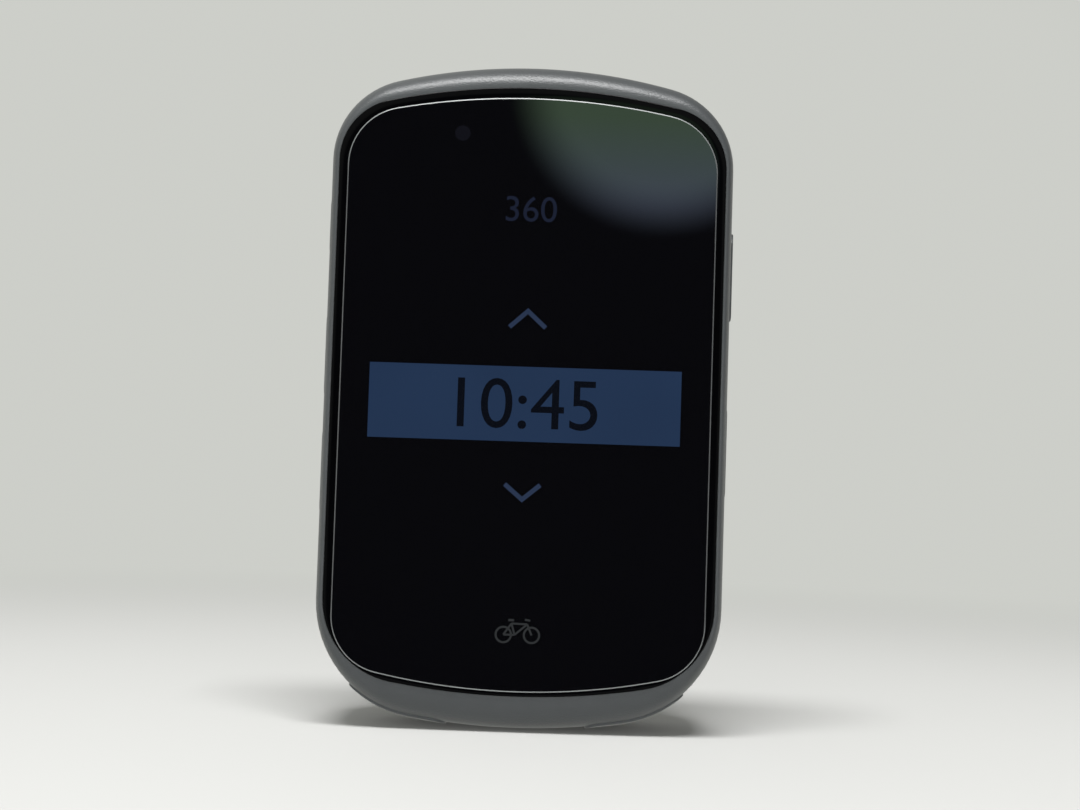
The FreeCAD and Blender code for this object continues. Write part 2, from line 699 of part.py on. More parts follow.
def usb_cap():
    """Rubber flap, flush with the case, with a plug that fills the socket's window."""
    flap = block(-CAP_HALF_X, CAP_HALF_X, CAP_FRONT, CAP_BACK, -42, CAP_FLOOR - 0.02)
    flap = rounded(flap, 0.7, Vector(0, 0, 1)).common(rear_body(0.0, PARTING + SEAM, BACK_FACE))
    plug = block(-SOCKET_HALF_X + 0.1, SOCKET_HALF_X - 0.1, 10.2, 12.5, CAP_FLOOR - 0.5, -39.3)
    return flap.fuse(rounded(plug, 0.8, Vector(0, 0, 1))).removeSplitter()


def usb_cap_anchor():
    """Fixed end of the cap's strap, pressed into a slot in the rear cover."""
    foot = block(-ANCHOR_HALF + 0.05, ANCHOR_HALF - 0.05, CAP_ROOM_BACK + 0.01, ANCHOR_BACK - 0.04, -42,
                 ANCHOR_TOP - 0.04)
    return foot.common(rear_body(0.02, PARTING + SEAM, BACK_FACE))


# ---- screws ----

def screw(x, z, seat, length, shank, head, height):
    """Pan-head screw with a hexagon recess; its shank runs forward from the seat."""
    body = rod(x, z, shank, seat - length, seat)
    top = rod(x, z, head, seat, seat + height)
    rim = [edge for edge in top.Edges if isinstance(edge.Curve, Part.Circle)
           and abs(edge.Curve.Center.y - seat) > height / 2]
    top = top.makeFillet(height * 0.35, rim)
    flat = 0.6 * head
    points = [Vector(x + flat * math.cos(math.radians(60 * i)), seat + height * 0.45,
                     z + flat * math.sin(math.radians(60 * i))) for i in range(7)]
    recess = Part.Face(Part.makePolygon(points)).extrude(OUT * height)
    return body.fuse(top).cut(recess).removeSplitter()


def screws(places, seat, length, shank, head, height):
    return Part.makeCompound([screw(x, z, seat, length, shank, head, height) for x, z in places])


def write(name, shape):
    """Move a piece to the part's frame and write its file."""
    placed = shape.copy()
    placed.translate(Vector(0, -THICKNESS, -MOUNT_RISE))
    placed.exportStep("parts/" + name + ".step")
    solids = placed.Solids
    print(name, "solids", len(solids), "valid", placed.isValid(),
          "volume %.2f" % sum(s.Volume for s in solids))


os.makedirs("parts", exist_ok=True)
KEYS = key_places()
write("front_housing", front_housing(KEYS))
write("rear_cover", rear_cover())
write("inner_bezel", inner_bezel())
write("lens_glass", lens_glass())
write("lens_adhesive", lens_adhesive())
write("perimeter_seal", perimeter_seal())
write("quarter_turn_mount", quarter_turn_mount())
write("display_panel", display_panel())
write("backlight", backlight())
write("display_frame", display_frame())
write("display_foam", display_foam())
write("display_flex", display_flex())
write("light_sensor", light_sensor())
write("light_pipe", light_pipe())
write("mid_frame", mid_frame())
write("main_board", main_board())
write("cpu_shield", shield_can(*CPU_SHIELD))
write("processor", chip(*PROCESSOR))
write("rf_shield", shield_can(*RF_SHIELD))
write("rf_module", chip(*RF_MODULE))
write("gps_antenna", on_front_of_board(GPS_ANTENNA, GPS_ANTENNA_FRONT))
write("wireless_antenna", chip(*WIRELESS_ANTENNA))
write("display_connector", on_front_of_board(DISPLAY_CONNECTOR, DISPLAY_CONNECTOR_FRONT))
write("beeper", chip(*BEEPER))
write("pressure_sensor", on_back_of_board((-1, 1, VENT_Z - 1, VENT_Z + 1), PRESSURE_SENSOR_BACK))
write("vent_membrane", rod(0, VENT_Z, MEMBRANE_RADIUS, COVER_INSIDE - MEMBRANE_THICK, COVER_INSIDE - 0.01))
write("battery", battery())
write("battery_tape", on_back_of_board(BATTERY_TAPE, BATTERY_FRONT - 0.01))
write("battery_lead", battery_lead())
write("battery_connector", on_back_of_board(BATTERY_CONNECTOR, BATTERY_CONNECTOR_BACK))
write("usb_socket", usb_socket())
write("usb_seal", usb_seal())
write("usb_cap", usb_cap())
write("usb_cap_anchor", usb_cap_anchor())
write("case_screws", screws(CASE_SCREWS, CASE_HEAD_SEAT + 0.01, CASE_SCREW, M16, M16_HEAD, CASE_HEAD))
write("board_screws", screws(BOARD_SCREWS, BOARD_BACK + 0.01, BOARD_SCREW, M12, M12_HEAD, 0.7))
write("frame_screws", screws(FRAME_SCREWS, FRAME_BACK + 0.01, FRAME_SCREW, M12, M12_HEAD, 0.6))
write("mount_screws", screws(mount_screw_places(), MOUNT_HEAD_SEAT + 0.01, MOUNT_SCREW, M16, M16_HEAD, MOUNT_HEAD))
for key_name, key_place in KEYS.items():
    write(key_name, button(key_place))
for key_row in ("left", "right", "bottom"):
    write(key_row + "_key_seal", key_seal(key_row, KEYS))
    write(key_row + "_key_domes", key_domes(key_row, KEYS))
    write(key_row + "_key_flex", key_flex(key_row))
    write(key_row + "_key_bracket", key_bracket(key_row))
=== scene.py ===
import json
import math

import bmesh
import bpy
from mathutils import Matrix, Vector
from mathutils.bvhtree import BVHTree


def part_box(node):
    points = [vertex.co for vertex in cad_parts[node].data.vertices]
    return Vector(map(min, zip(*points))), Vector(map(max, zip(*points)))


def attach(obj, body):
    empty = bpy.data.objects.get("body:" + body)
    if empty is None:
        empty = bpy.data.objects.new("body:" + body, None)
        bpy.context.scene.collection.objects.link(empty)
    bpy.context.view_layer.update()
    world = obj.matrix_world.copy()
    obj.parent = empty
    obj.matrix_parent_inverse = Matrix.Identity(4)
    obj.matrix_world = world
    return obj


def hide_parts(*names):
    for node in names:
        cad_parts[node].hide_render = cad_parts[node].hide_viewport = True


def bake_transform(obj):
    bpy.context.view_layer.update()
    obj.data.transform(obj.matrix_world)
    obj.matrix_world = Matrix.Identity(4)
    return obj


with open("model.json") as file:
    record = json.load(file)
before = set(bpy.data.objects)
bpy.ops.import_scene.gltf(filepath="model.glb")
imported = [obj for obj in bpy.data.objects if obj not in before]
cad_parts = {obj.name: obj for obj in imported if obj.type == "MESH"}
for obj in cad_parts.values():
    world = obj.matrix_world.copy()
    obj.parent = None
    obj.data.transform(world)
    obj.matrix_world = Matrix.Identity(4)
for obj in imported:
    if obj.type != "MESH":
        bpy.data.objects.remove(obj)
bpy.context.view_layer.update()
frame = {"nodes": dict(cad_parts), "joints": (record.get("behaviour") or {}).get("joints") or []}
scene = bpy.context.scene
nodes = frame["nodes"]
MM = 0.001


# ---- Camera ----
# The reader looks at the glass from a hand's length away and a little below its middle,
# with the device turned slightly clockwise.

glass_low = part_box("lens_glass")[0]
case_low, case_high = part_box("front_housing")
middle_z = (case_low.z + case_high.z) / 2
aim = Vector((1.82 * MM, glass_low.y, middle_z - 1.39 * MM))
eye_distance = 199.9 * MM
eye_below = math.radians(2.91)
eye_left = math.radians(-0.133)
device_roll = math.radians(1.88)      # clockwise, as the reader sees it

lens = bpy.data.cameras.new("eye")
lens.lens = 54.93
lens.sensor_width = 36.0
lens.clip_start = 0.005
eye = bpy.data.objects.new("eye", lens)
scene.collection.objects.link(eye)
back = Vector((math.cos(eye_below) * math.sin(-eye_left), -math.cos(eye_below) * math.cos(eye_left),
               -math.sin(eye_below)))
turn = back.to_track_quat("Z", "Y").to_matrix() @ Matrix.Rotation(device_roll, 3, "Z")
eye.matrix_world = Matrix.Translation(aim + back * eye_distance) @ turn.to_4x4()
scene.camera = eye


# ---- Front housing ----
# One shell, injection moulded in dark grey polycarbonate, with a fine spark-eroded texture.
# It rolls back from the edge of the window to the widest line of the case, and it carries
# the openings for all seven buttons.

STEPS = (22, 16, 34, 16, 18)          # points on the top arc, corner, side, corner, bottom arc


def outline(half, top, top_arc, top_corner, bottom, bottom_arc, bottom_corner):
    return (half, top, top_arc, top_corner, bottom, bottom_arc, bottom_corner)


def inset(shape, d):
    """The parallel outline a distance d further in."""
    half, top, top_arc, top_corner, bottom, bottom_arc, bottom_corner = shape
    return (half - d, top - d, top_arc - d, top_corner - d, bottom + d, bottom_arc - d, bottom_corner - d)


def between(first, second, f):
    return tuple(a + (b - a) * f for a, b in zip(first, second))


def new_verts(made):
    """The vertices that an extrusion or a spin has just made."""
    return [g for g in made.get("geom", made.get("geom_last", [])) if isinstance(g, bmesh.types.BMVert)]


def spin_on(bm, vert, centre, angle, steps):
    made = bmesh.ops.spin(bm, geom=[vert], cent=centre, axis=(0, 1, 0), angle=angle, steps=steps,
                          use_merge=False, use_normal_flip=False, use_duplicate=False)
    return new_verts(made)[0]


def barrel_loop(bm, shape, depth):
    """A closed loop of edges: two large end arcs, four round corners and two straight sides."""
    half, top, top_arc, top_corner, bottom, bottom_arc, bottom_corner = shape
    old = set(bm.edges)
    start = vert = bm.verts.new((0, depth, top))
    reach = half - top_corner
    rise = math.sqrt((top_arc - top_corner) ** 2 - reach ** 2)
    lean = math.atan2(reach, rise)
    vert = spin_on(bm, vert, (0, depth, top - top_arc), lean, STEPS[0])
    shoulder = top - top_arc + rise
    vert = spin_on(bm, vert, (reach, depth, shoulder), math.pi / 2 - lean, STEPS[1])
    reach = half - bottom_corner
    rise = math.sqrt((bottom_arc - bottom_corner) ** 2 - reach ** 2)
    lean = math.atan2(reach, rise)
    hip = bottom + bottom_arc - rise
    for _ in range(STEPS[2]):
        vert = bmesh.ops.extrude_vert_indiv(bm, verts=[vert])["verts"][0]
        vert.co.z -= (shoulder - hip) / STEPS[2]
    vert = spin_on(bm, vert, (reach, depth, hip), math.pi / 2 - lean, STEPS[3])
    spin_on(bm, vert, (0, depth, bottom + bottom_arc), lean, STEPS[4])
    half_edges = [e for e in bm.edges if e not in old]
    half_verts = list({v for e in half_edges for v in e.verts})
    bmesh.ops.mirror(bm, geom=half_verts + half_edges, axis="X", merge_dist=1e-4)
    return [e for e in bm.edges if e not in old]


def bridge(bm, loops, closed=False):
    """Skins a list of edge loops, each to the next. The second loop of a pair is lifted away
    while they are joined, so that loops in one plane are matched the right way round."""
    pairs = list(zip(loops, loops[1:]))
    if closed:
        pairs.append((loops[-1], loops[0]))
    for first, second in pairs:
        lifted = list({v for e in second for v in e.verts})
        bmesh.ops.translate(bm, vec=(0, 200, 0), verts=lifted)
        bmesh.ops.bridge_loops(bm, edges=first + second)
        bmesh.ops.translate(bm, vec=(0, -200, 0), verts=lifted)


def shoulder_sections(front_shape, front_depth, side_shape, side_depth, steps):
    """Sections of a quarter-ellipse roll, from facing forward to facing sideways."""
    sections = []
    for i in range(steps + 1):
        t = math.radians(90 * i / steps)
        shape = between(side_shape, front_shape, 1 - math.sin(t))
        sections.append((shape, side_depth - (side_depth - front_depth) * math.cos(t)))
    return sections


def to_object(bm, name):
    """Takes a mesh drawn in millimetres, with y as depth behind the glass and z from the
    middle of the case, to its place in the frame."""
    bmesh.ops.scale(bm, vec=(MM, MM, MM), verts=bm.verts)
    bmesh.ops.translate(bm, vec=(0, glass_low.y, middle_z), verts=bm.verts)
    bmesh.ops.recalc_face_normals(bm, faces=bm.faces)
    mesh = bpy.data.meshes.new(name)
    bm.to_mesh(mesh)
    bm.free()
    piece = bpy.data.objects.new(name, mesh)
    scene.collection.objects.link(piece)
    return piece


def carve(piece, tool, operation="DIFFERENCE"):
    """Cuts a piece with a tool object, and removes the tool."""
    step = piece.modifiers.new("carve", "BOOLEAN")
    step.operation = operation
    step.solver = "EXACT"
    step.object = tool
    bpy.context.view_layer.update()
    done = bpy.data.meshes.new_from_object(piece.evaluated_get(bpy.context.evaluated_depsgraph_get()))
    piece.modifiers.clear()
    old = piece.data
    piece.data = done
    done.name = piece.name
    bpy.data.meshes.remove(old)
    bpy.data.objects.remove(tool)


def smooth(piece, angle=32):
    piece.data.shade_smooth()
    piece.data.set_sharp_from_angle(angle=math.radians(angle))


def settle(piece, material, body, slot, *stands_for):
    """Gives a piece its finish, its body and the CAD nodes that it stands for."""
    piece.data.materials.append(material)
    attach(piece, body)
    if stands_for:
        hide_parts(*stands_for)


def plastic(name, colour, roughness, grain, depth, mottle):
    """Moulded plastic: a fine grain in the surface, and faint unevenness in colour and shine."""
    material = bpy.data.materials.new(name)
    material.use_nodes = True
    tree = material.node_tree
    shader = tree.nodes["Principled BSDF"]
    place = tree.nodes.new("ShaderNodeTexCoord").outputs["Object"]

    def noise(scale, detail):
        node = tree.nodes.new("ShaderNodeTexNoise")
        node.inputs["Scale"].default_value = scale
        node.inputs["Detail"].default_value = detail
        tree.links.new(place, node.inputs["Vector"])
        return node.outputs["Fac"]

    def spread(value, low, high):
        node = tree.nodes.new("ShaderNodeMapRange")
        node.inputs["To Min"].default_value = low
        node.inputs["To Max"].default_value = high
        tree.links.new(value, node.inputs["Value"])
        return node.outputs["Result"]

    fine = noise(grain, 2.0)
    broad = noise(220.0, 3.0)
    tint = tree.nodes.new("ShaderNodeMix")
    tint.data_type = "RGBA"
    tint.inputs["A"].default_value = (*[c * (1 - mottle) for c in colour], 1)
    tint.inputs["B"].default_value = (*[min(1, c * (1 + mottle)) for c in colour], 1)
    tree.links.new(spread(broad, 0.0, 1.0), tint.inputs["Factor"])
    tree.links.new(tint.outputs["Result"], shader.inputs["Base Color"])
    tree.links.new(spread(fine, roughness - 0.07, roughness + 0.07), shader.inputs["Roughness"])
    bump = tree.nodes.new("ShaderNodeBump")
    bump.inputs["Strength"].default_value = 0.6
    bump.inputs["Distance"].default_value = depth
    tree.links.new(fine, bump.inputs["Height"])
    tree.links.new(bump.outputs["Normal"], shader.inputs["Normal"])
    return material


def shine(material, level):
    material.node_tree.nodes["Principled BSDF"].inputs["Specular IOR Level"].default_value = level


def depth_of(value):
    """Depth behind the glass, in millimetres, of a y in the frame."""
    return (value - glass_low.y) / MM


half_width = case_high.x / MM
half_height = (case_high.z - middle_z) / MM
parting = depth_of(case_high.y)
rim_depth = depth_of(case_low.y)
widest_depth = 6.0
ledge = 1.3
wall = 1.6
widest = outline(half_width, half_height, 69.3, 10.7, -half_height, 77.7, 14.35)
rim = outline(23.7, 37.54, 77.9, 7.6, -36.64, 90.5, 10.1)
window = outline(21.3, 26.95, 3000, 1.0, -30.55, 3000, 1.0)

grey = plastic("housing_grey", (0.038, 0.041, 0.043), 0.38, 4400.0, 0.00007, 0.08)
shine(grey, 0.38)

lip = [(rim, ledge), (rim, rim_depth + 0.06), (inset(rim, -0.02), rim_depth + 0.01)]
roll = shoulder_sections(inset(rim, -0.15), rim_depth, widest, widest_depth, 16)
flank = [(widest, widest_depth + (parting - 0.12 - widest_depth) * i / 5) for i in range(1, 6)]
rear_edge = [(inset(widest, 0.035), parting - 0.035), (inset(widest, 0.12), parting)]
inside = [(inset(widest, wall), parting), (inset(widest, wall), 3.0), (window, 3.0), (window, ledge)]

bm = bmesh.new()
bridge(bm, [barrel_loop(bm, s, d) for s, d in lip + roll + flank + rear_edge + inside], closed=True)
front_housing = to_object(bm, "front_housing_shell")
housing_skin = BVHTree.FromObject(front_housing, bpy.context.evaluated_depsgraph_get())


# ---- Buttons ----
# Seven hard plastic caps with eased rims and slightly crowned faces, moulded in the grey of
# the housing. Each lies almost flush in a slot in the wall, and is pushed back by a dome.

button_joints = [j for j in frame["joints"] if j["type"] == "slide"]
flange_margin = (1.0, 0.8)            # the CAD flange is wider than the cap by this much
slot_gap = 0.20
slot_outer, slot_inner = 3.0, -4.4    # a slot's cutter starts outside the case and ends inside it
crown = 0.05                          # the middle of a cap's face stands this much above its rim
skirt = 1.5                           # how far a cap's side wall reaches inwards
bottom_stand = 0.10                   # the two bottom caps stand this much further out than the CAD
reach_out = 4.0                       # rays start this far outside the case


def button_place(joint):
    """Matrix from the cap's own directions (along, depth, outward) to the frame, with the
    cap's length and height, all from the CAD button."""
    node = joint["child"].replace("_body", "")
    outward = -Vector(joint["axis"])
    depth = Vector((0, 1, 0))
    along = depth.cross(outward)
    spots = [v.co for v in nodes[node].data.vertices]
    spans = [(min(p.dot(d) for p in spots), max(p.dot(d) for p in spots)) for d in (along, depth, outward)]
    centre = along * sum(spans[0]) / 2 + depth * sum(spans[1]) / 2 + outward * spans[2][1]
    turn = Matrix((along, depth, outward)).transposed().to_4x4()
    length = (spans[0][1] - spans[0][0]) / MM - flange_margin[0]
    height = (spans[1][1] - spans[1][0]) / MM - flange_margin[1]
    return node, Matrix.Translation(centre) @ turn @ Matrix.Scale(MM, 4), length, height


def rounded_bar(bm, length, height, top, bottom):
    """A solid of stadium section, drawn as a half outline, mirrored, filled and extruded."""
    r = height / 2
    reach = length / 2 - r
    vert = bm.verts.new((0, -r, top))
    vert = bmesh.ops.extrude_vert_indiv(bm, verts=[vert])["verts"][0]
    vert.co.x = reach
    made = bmesh.ops.spin(bm, geom=[vert], cent=(reach, 0, top), axis=(0, 0, 1), angle=math.pi, steps=20,
                          use_merge=False, use_normal_flip=False, use_duplicate=False)
    vert = new_verts(made)[0]
    vert = bmesh.ops.extrude_vert_indiv(bm, verts=[vert])["verts"][0]
    vert.co.x = 0
    bmesh.ops.mirror(bm, geom=bm.verts[:] + bm.edges[:], axis="X", merge_dist=1e-4)
    face = bmesh.ops.contextual_create(bm, geom=bm.edges[:])["faces"]
    grown = bmesh.ops.extrude_face_region(bm, geom=face)
    bmesh.ops.translate(bm, vec=(0, 0, bottom - top), verts=new_verts(grown))


def placed(bm, name, place):
    bmesh.ops.transform(bm, matrix=place, verts=bm.verts)
    bmesh.ops.recalc_face_normals(bm, faces=bm.faces)
    mesh = bpy.data.meshes.new(name)
    bm.to_mesh(mesh)
    bm.free()
    piece = bpy.data.objects.new(name, mesh)
    scene.collection.objects.link(piece)
    return piece


def cap_piece(name, place, length, height, stand):
    """A grid drawn out to a stadium, with a skirt and an eased rim, laid on the case so that
    its middle stands proud of the surface by the given amount."""
    r = height / 2
    reach = length / 2 - r
    bm = bmesh.new()
    bmesh.ops.create_grid(bm, x_segments=44, y_segments=14, size=1)
    end_share = 0.3
    for vert in bm.verts:
        s, t = vert.co.x, vert.co.y
        over = max(0.0, (abs(s) - (1 - end_share)) / end_share)
        straight = min(abs(s), 1 - end_share) / (1 - end_share)
        sign = math.copysign(1, s)
        vert.co.x = sign * (straight * reach + r * over * math.sqrt(1 - t * t / 2))
        vert.co.y = r * t * math.sqrt(1 - over * over / 2)
    rim_edges = [e for e in bm.edges if e.is_boundary]
    grown = bmesh.ops.extrude_edge_only(bm, edges=rim_edges)
    bmesh.ops.translate(bm, vec=(0, 0, -skirt), verts=new_verts(grown))
    foot = [e for e in bm.edges if e.is_boundary]
    bmesh.ops.edgeloop_fill(bm, edges=foot)
    eased = [e for e in bm.edges if all(abs(v.co.z) < 1e-6 for v in e.verts)
             and any(abs(v.co.z + skirt) < 1e-6 for f in e.link_faces for v in f.verts)]
    bmesh.ops.bevel(bm, geom=eased, offset=0.22, offset_type="OFFSET", segments=4, profile=0.5,
                    affect="EDGES", clamp_overlap=True, material=-1)
    inward = (place.to_3x3() @ Vector((0, 0, -1))).normalized()
    for vert in bm.verts:
        hit = housing_skin.ray_cast(place @ Vector((vert.co.x, vert.co.y, reach_out)), inward)
        fall = hit[3] / MM - reach_out if hit[0] else 0.0
        vert.co.z += stand - crown + crown * (1 - min(1, abs(vert.co.y) / r) ** 2) - fall
    return placed(bm, name, place)


slots = []
for joint in button_joints:
    node, place, length, height = button_place(joint)
    hit = housing_skin.ray_cast(place @ Vector((0, 0, reach_out)), Vector(joint["axis"]))
    stand = hit[3] / MM - reach_out
    if abs(joint["axis"][2]) > 0.5:
        stand += bottom_stand
    cap = cap_piece(node + "_cap", place, length, height, stand)
    smooth(cap, 40)
    settle(cap, grey, joint["child"], "button_grey", node)
    bm = bmesh.new()
    rounded_bar(bm, length + 2 * slot_gap, height + 2 * slot_gap, slot_outer, slot_inner)
    slots.append(placed(bm, node + "_slot", place))

for tool in slots:
    carve(front_housing, tool)
smooth(front_housing)
settle(front_housing, grey, "case", "housing_grey", "front_housing")


# ---- Inner bezel ----
# A narrow black ring round the glass, moulded with a polished face and pressed into the lip
# of the grey housing.

def gloss(name, colour, roughness, coat=0.0):
    material = bpy.data.materials.new(name)
    material.use_nodes = True
    tree = material.node_tree
    shader = tree.nodes["Principled BSDF"]
    shader.inputs["Base Color"].default_value = (*colour, 1)
    shader.inputs["Coat Weight"].default_value = coat
    place = tree.nodes.new("ShaderNodeTexCoord").outputs["Object"]
    haze = tree.nodes.new("ShaderNodeTexNoise")
    haze.inputs["Scale"].default_value = 90.0
    haze.inputs["Detail"].default_value = 4.0
    tree.links.new(place, haze.inputs["Vector"])
    spread = tree.nodes.new("ShaderNodeMapRange")
    spread.inputs["To Min"].default_value = roughness * 0.7
    spread.inputs["To Max"].default_value = roughness * 1.3
    tree.links.new(haze.outputs["Fac"], spread.inputs["Value"])
    tree.links.new(spread.outputs["Result"], shader.inputs["Roughness"])
    return material


glass = outline(22.64, 36.22, 85.2, 7.25, -36.1, 82.0, 7.0)
ring_outer = inset(rim, 0.03)
ring_inner = inset(glass, -0.03)
gloss_black = gloss("bezel_gloss_black", (0.0006, 0.0006, 0.0008), 0.09)
shine(gloss_black, 0.07)
ring_sections = [(ring_inner, ledge - 0.02), (ring_inner, 0.17), (inset(ring_inner, -0.03), 0.13),
                 (inset(ring_outer, 0.12), 0.13), (inset(ring_outer, 0.03), 0.16), (ring_outer, 0.22),
                 (ring_outer, ledge - 0.02)]
bm = bmesh.new()
bridge(bm, [barrel_loop(bm, s, d) for s, d in ring_sections], closed=True)
bezel = to_object(bm, "inner_bezel_ring")
smooth(bezel, 50)
settle(bezel, gloss_black, "case", "gloss_black", "inner_bezel")


# ---- Cover glass ----
# Hardened glass, printed black on its back. Its front edge is ground to a narrow facet,
# which shows as a thin pale line all round; along the two ends the line is paler by a painted highlight.

glass_face = 0.03
facet = 0.16
bm = bmesh.new()
glass_sections = [(inset(glass, facet), glass_face), (inset(glass, 0.02), glass_face + 0.09),
                  (glass, glass_face + 0.13), (glass, 1.1)]
loops = [barrel_loop(bm, s, d) for s, d in glass_sections]
bridge(bm, loops)
for face in bm.faces:
    if all(v.co.y < glass_face + 0.12 for v in face.verts):
        face.material_index = 1       # the ground edge
bmesh.ops.edgeloop_fill(bm, edges=loops[0])
bmesh.ops.edgeloop_fill(bm, edges=loops[-1])
cover_glass = to_object(bm, "cover_glass")
smooth(cover_glass, 20)
glass_black = gloss("glass_over_black", (0.0012, 0.0012, 0.0016), 0.02)


def ground_edge():
    """Ground glass, frosted grey down the sides, with a painted highlight that makes it paler along the two
    ends.
    """
    material = gloss("glass_ground_edge", (0.05, 0.05, 0.05), 0.42)
    tree = material.node_tree
    place = tree.nodes.new("ShaderNodeTexCoord").outputs["Object"]
    split = tree.nodes.new("ShaderNodeSeparateXYZ")
    tree.links.new(place, split.inputs["Vector"])
    level = tree.nodes.new("ShaderNodeMath")
    level.operation = "SUBTRACT"
    level.inputs[1].default_value = middle_z
    tree.links.new(split.outputs["Z"], level.inputs[0])
    size = tree.nodes.new("ShaderNodeMath")
    size.operation = "ABSOLUTE"
    tree.links.new(level.outputs["Value"], size.inputs[0])
    # Paler grey towards the two ends than down the sides: a painted highlight on the frosted edge.
    end_highlight_mask = tree.nodes.new("ShaderNodeMapRange")
    end_highlight_mask.inputs["From Min"].default_value = 0.026
    end_highlight_mask.inputs["From Max"].default_value = 0.036
    tree.links.new(size.outputs["Value"], end_highlight_mask.inputs["Value"])
    tint = tree.nodes.new("ShaderNodeMix")
    tint.data_type = "RGBA"
    tint.inputs["A"].default_value = (0.050, 0.052, 0.054, 1)
    tint.inputs["B"].default_value = (0.16, 0.17, 0.17, 1)
    tree.links.new(end_highlight_mask.outputs["Result"], tint.inputs["Factor"])
    tree.links.new(tint.outputs["Result"], tree.nodes["Principled BSDF"].inputs["Base Color"])
    return material


settle(cover_glass, glass_black, "case", "lens", "lens_glass")
# The ground edge's material, with its painted highlight along the two ends.
cover_glass.data.materials.append(ground_edge())


# ---- Display picture ----
# The lit parts of the liquid crystal display: a slate-blue box with large dark figures, a dim caption
# and an arrow above and below. A faint bicycle mark at the foot, printed on the glass, and the light sensor's
# window are made the same way and glow too: a painted glow in place of lamp light on them.

def lit(name, colour, strength):
    """A part that glows, seen through the glass, so its surface is as glossy. For the display this is its own
    light; for the printed mark and the sensor window the glow is painted light.
    """
    material = bpy.data.materials.new(name)
    material.use_nodes = True
    tree = material.node_tree
    shader = tree.nodes["Principled BSDF"]
    shader.inputs["Base Color"].default_value = (0.0012, 0.0012, 0.0016, 1)
    shader.inputs["Roughness"].default_value = 0.02
    shader.inputs["Emission Strength"].default_value = strength
    place = tree.nodes.new("ShaderNodeTexCoord").outputs["Object"]
    uneven = tree.nodes.new("ShaderNodeTexNoise")
    uneven.inputs["Scale"].default_value = 60.0
    tree.links.new(place, uneven.inputs["Vector"])
    blend = tree.nodes.new("ShaderNodeMix")
    blend.data_type = "RGBA"
    blend.inputs["A"].default_value = (*[c * 0.88 for c in colour], 1)
    blend.inputs["B"].default_value = (*[c * 1.12 for c in colour], 1)
    tree.links.new(uneven.outputs["Fac"], blend.inputs["Factor"])
    tree.links.new(blend.outputs["Result"], shader.inputs["Emission Color"])
    return material


def plate(bm, x0, x1, z0, z1, front, back):
    """A flat plate between two depths."""
    made = bmesh.ops.create_cube(bm, size=1)["verts"]
    bmesh.ops.scale(bm, vec=(x1 - x0, back - front, z1 - z0), verts=made)
    bmesh.ops.translate(bm, vec=((x0 + x1) / 2, (front + back) / 2, (z0 + z1) / 2), verts=made)
    return made


def bar(bm, start, end, width, front, back):
    """A straight stroke with square ends between two points (x, z)."""
    dx, dz = end[0] - start[0], end[1] - start[1]
    length = math.hypot(dx, dz)
    made = plate(bm, -length / 2, length / 2, -width / 2, width / 2, front, back)
    bmesh.ops.rotate(bm, verts=made, cent=(0, 0, 0), matrix=Matrix.Rotation(-math.atan2(dz, dx), 3, "Y"))
    bmesh.ops.translate(bm, vec=((start[0] + end[0]) / 2, 0, (start[1] + end[1]) / 2), verts=made)


def figures(text, name, height, x, z, front, thick):
    """Figures set in a plain face, as thin plates on the glass."""
    curve = bpy.data.curves.new(name, "FONT")
    curve.body = text
    curve.align_x = "CENTER"
    curve.size = 1.0
    curve.resolution_u = 6
    source = bpy.data.objects.new(name + "_source", curve)
    scene.collection.objects.link(source)
    bpy.context.view_layer.update()
    mesh = bpy.data.meshes.new_from_object(source.evaluated_get(bpy.context.evaluated_depsgraph_get()))
    bpy.data.objects.remove(source)
    bm = bmesh.new()
    bm.from_mesh(mesh)
    bmesh.ops.remove_doubles(bm, verts=bm.verts, dist=1e-5)
    low = min(v.co.y for v in bm.verts)
    high = max(v.co.y for v in bm.verts)
    left = min(v.co.x for v in bm.verts)
    right = max(v.co.x for v in bm.verts)
    scale = height / (high - low)
    bmesh.ops.translate(bm, vec=(-(left + right) / 2, -(low + high) / 2, 0), verts=bm.verts)
    bmesh.ops.scale(bm, vec=(scale, scale, 1), verts=bm.verts)
    bmesh.ops.rotate(bm, verts=bm.verts, cent=(0, 0, 0), matrix=Matrix.Rotation(math.pi / 2, 3, "X"))
    grown = bmesh.ops.extrude_face_region(bm, geom=bm.faces[:])
    bmesh.ops.translate(bm, vec=(0, thick, 0), verts=new_verts(grown))
    bmesh.ops.translate(bm, vec=(x, front, z), verts=bm.verts)
    return to_object(bm, name)


on_glass = glass_face - 0.012
slate = lit("display_slate_blue", (0.0150, 0.0325, 0.0750), 1.0)
dim_blue = lit("display_dim_blue", (0.0090, 0.0125, 0.0270), 1.0)
arrow_blue = lit("display_arrow_blue", (0.0210, 0.0340, 0.0700), 1.0)
off_black = lit("display_off", (0.0010, 0.0020, 0.0045), 1.0)
# The bicycle mark is grey print, and its glow is a painted glow in place of lamp light on the print.
mark_grey = lit("display_mark_grey", (0.0270, 0.0290, 0.0300), 1.0)
# The sensor window's faint glow is a painted glow, standing in for lamp light on the window.
sensor_painted_glow = lit("sensor_window", (0.0035, 0.0037, 0.0060), 1.0)

bm = bmesh.new()
plate(bm, -19.0, 18.9, -5.9, 3.2, on_glass, glass_face + 0.01)
selection = to_object(bm, "display_selection_box")
settle(selection, slate, "case", "display")

main_figures = figures("10:45", "display_main_figures", 6.1, 0.3, -1.32, on_glass - 0.008, 0.012)
settle(main_figures, off_black, "case", "display")
caption = figures("360", "display_caption", 3.1, 0.0, 22.5, on_glass, 0.012)
settle(caption, dim_blue, "case", "display")

bm = bmesh.new()
for side in (-1, 1):
    bar(bm, (0.17 * side * -1, 10.15), (2.2 * side, 8.0), 0.55, on_glass, glass_face + 0.01)
    bar(bm, (0.17 * side * -1, -13.05), (2.15 * side, -11.1), 0.55, on_glass, glass_face + 0.01)
arrows = to_object(bm, "display_arrows")
settle(arrows, arrow_blue, "case", "display")
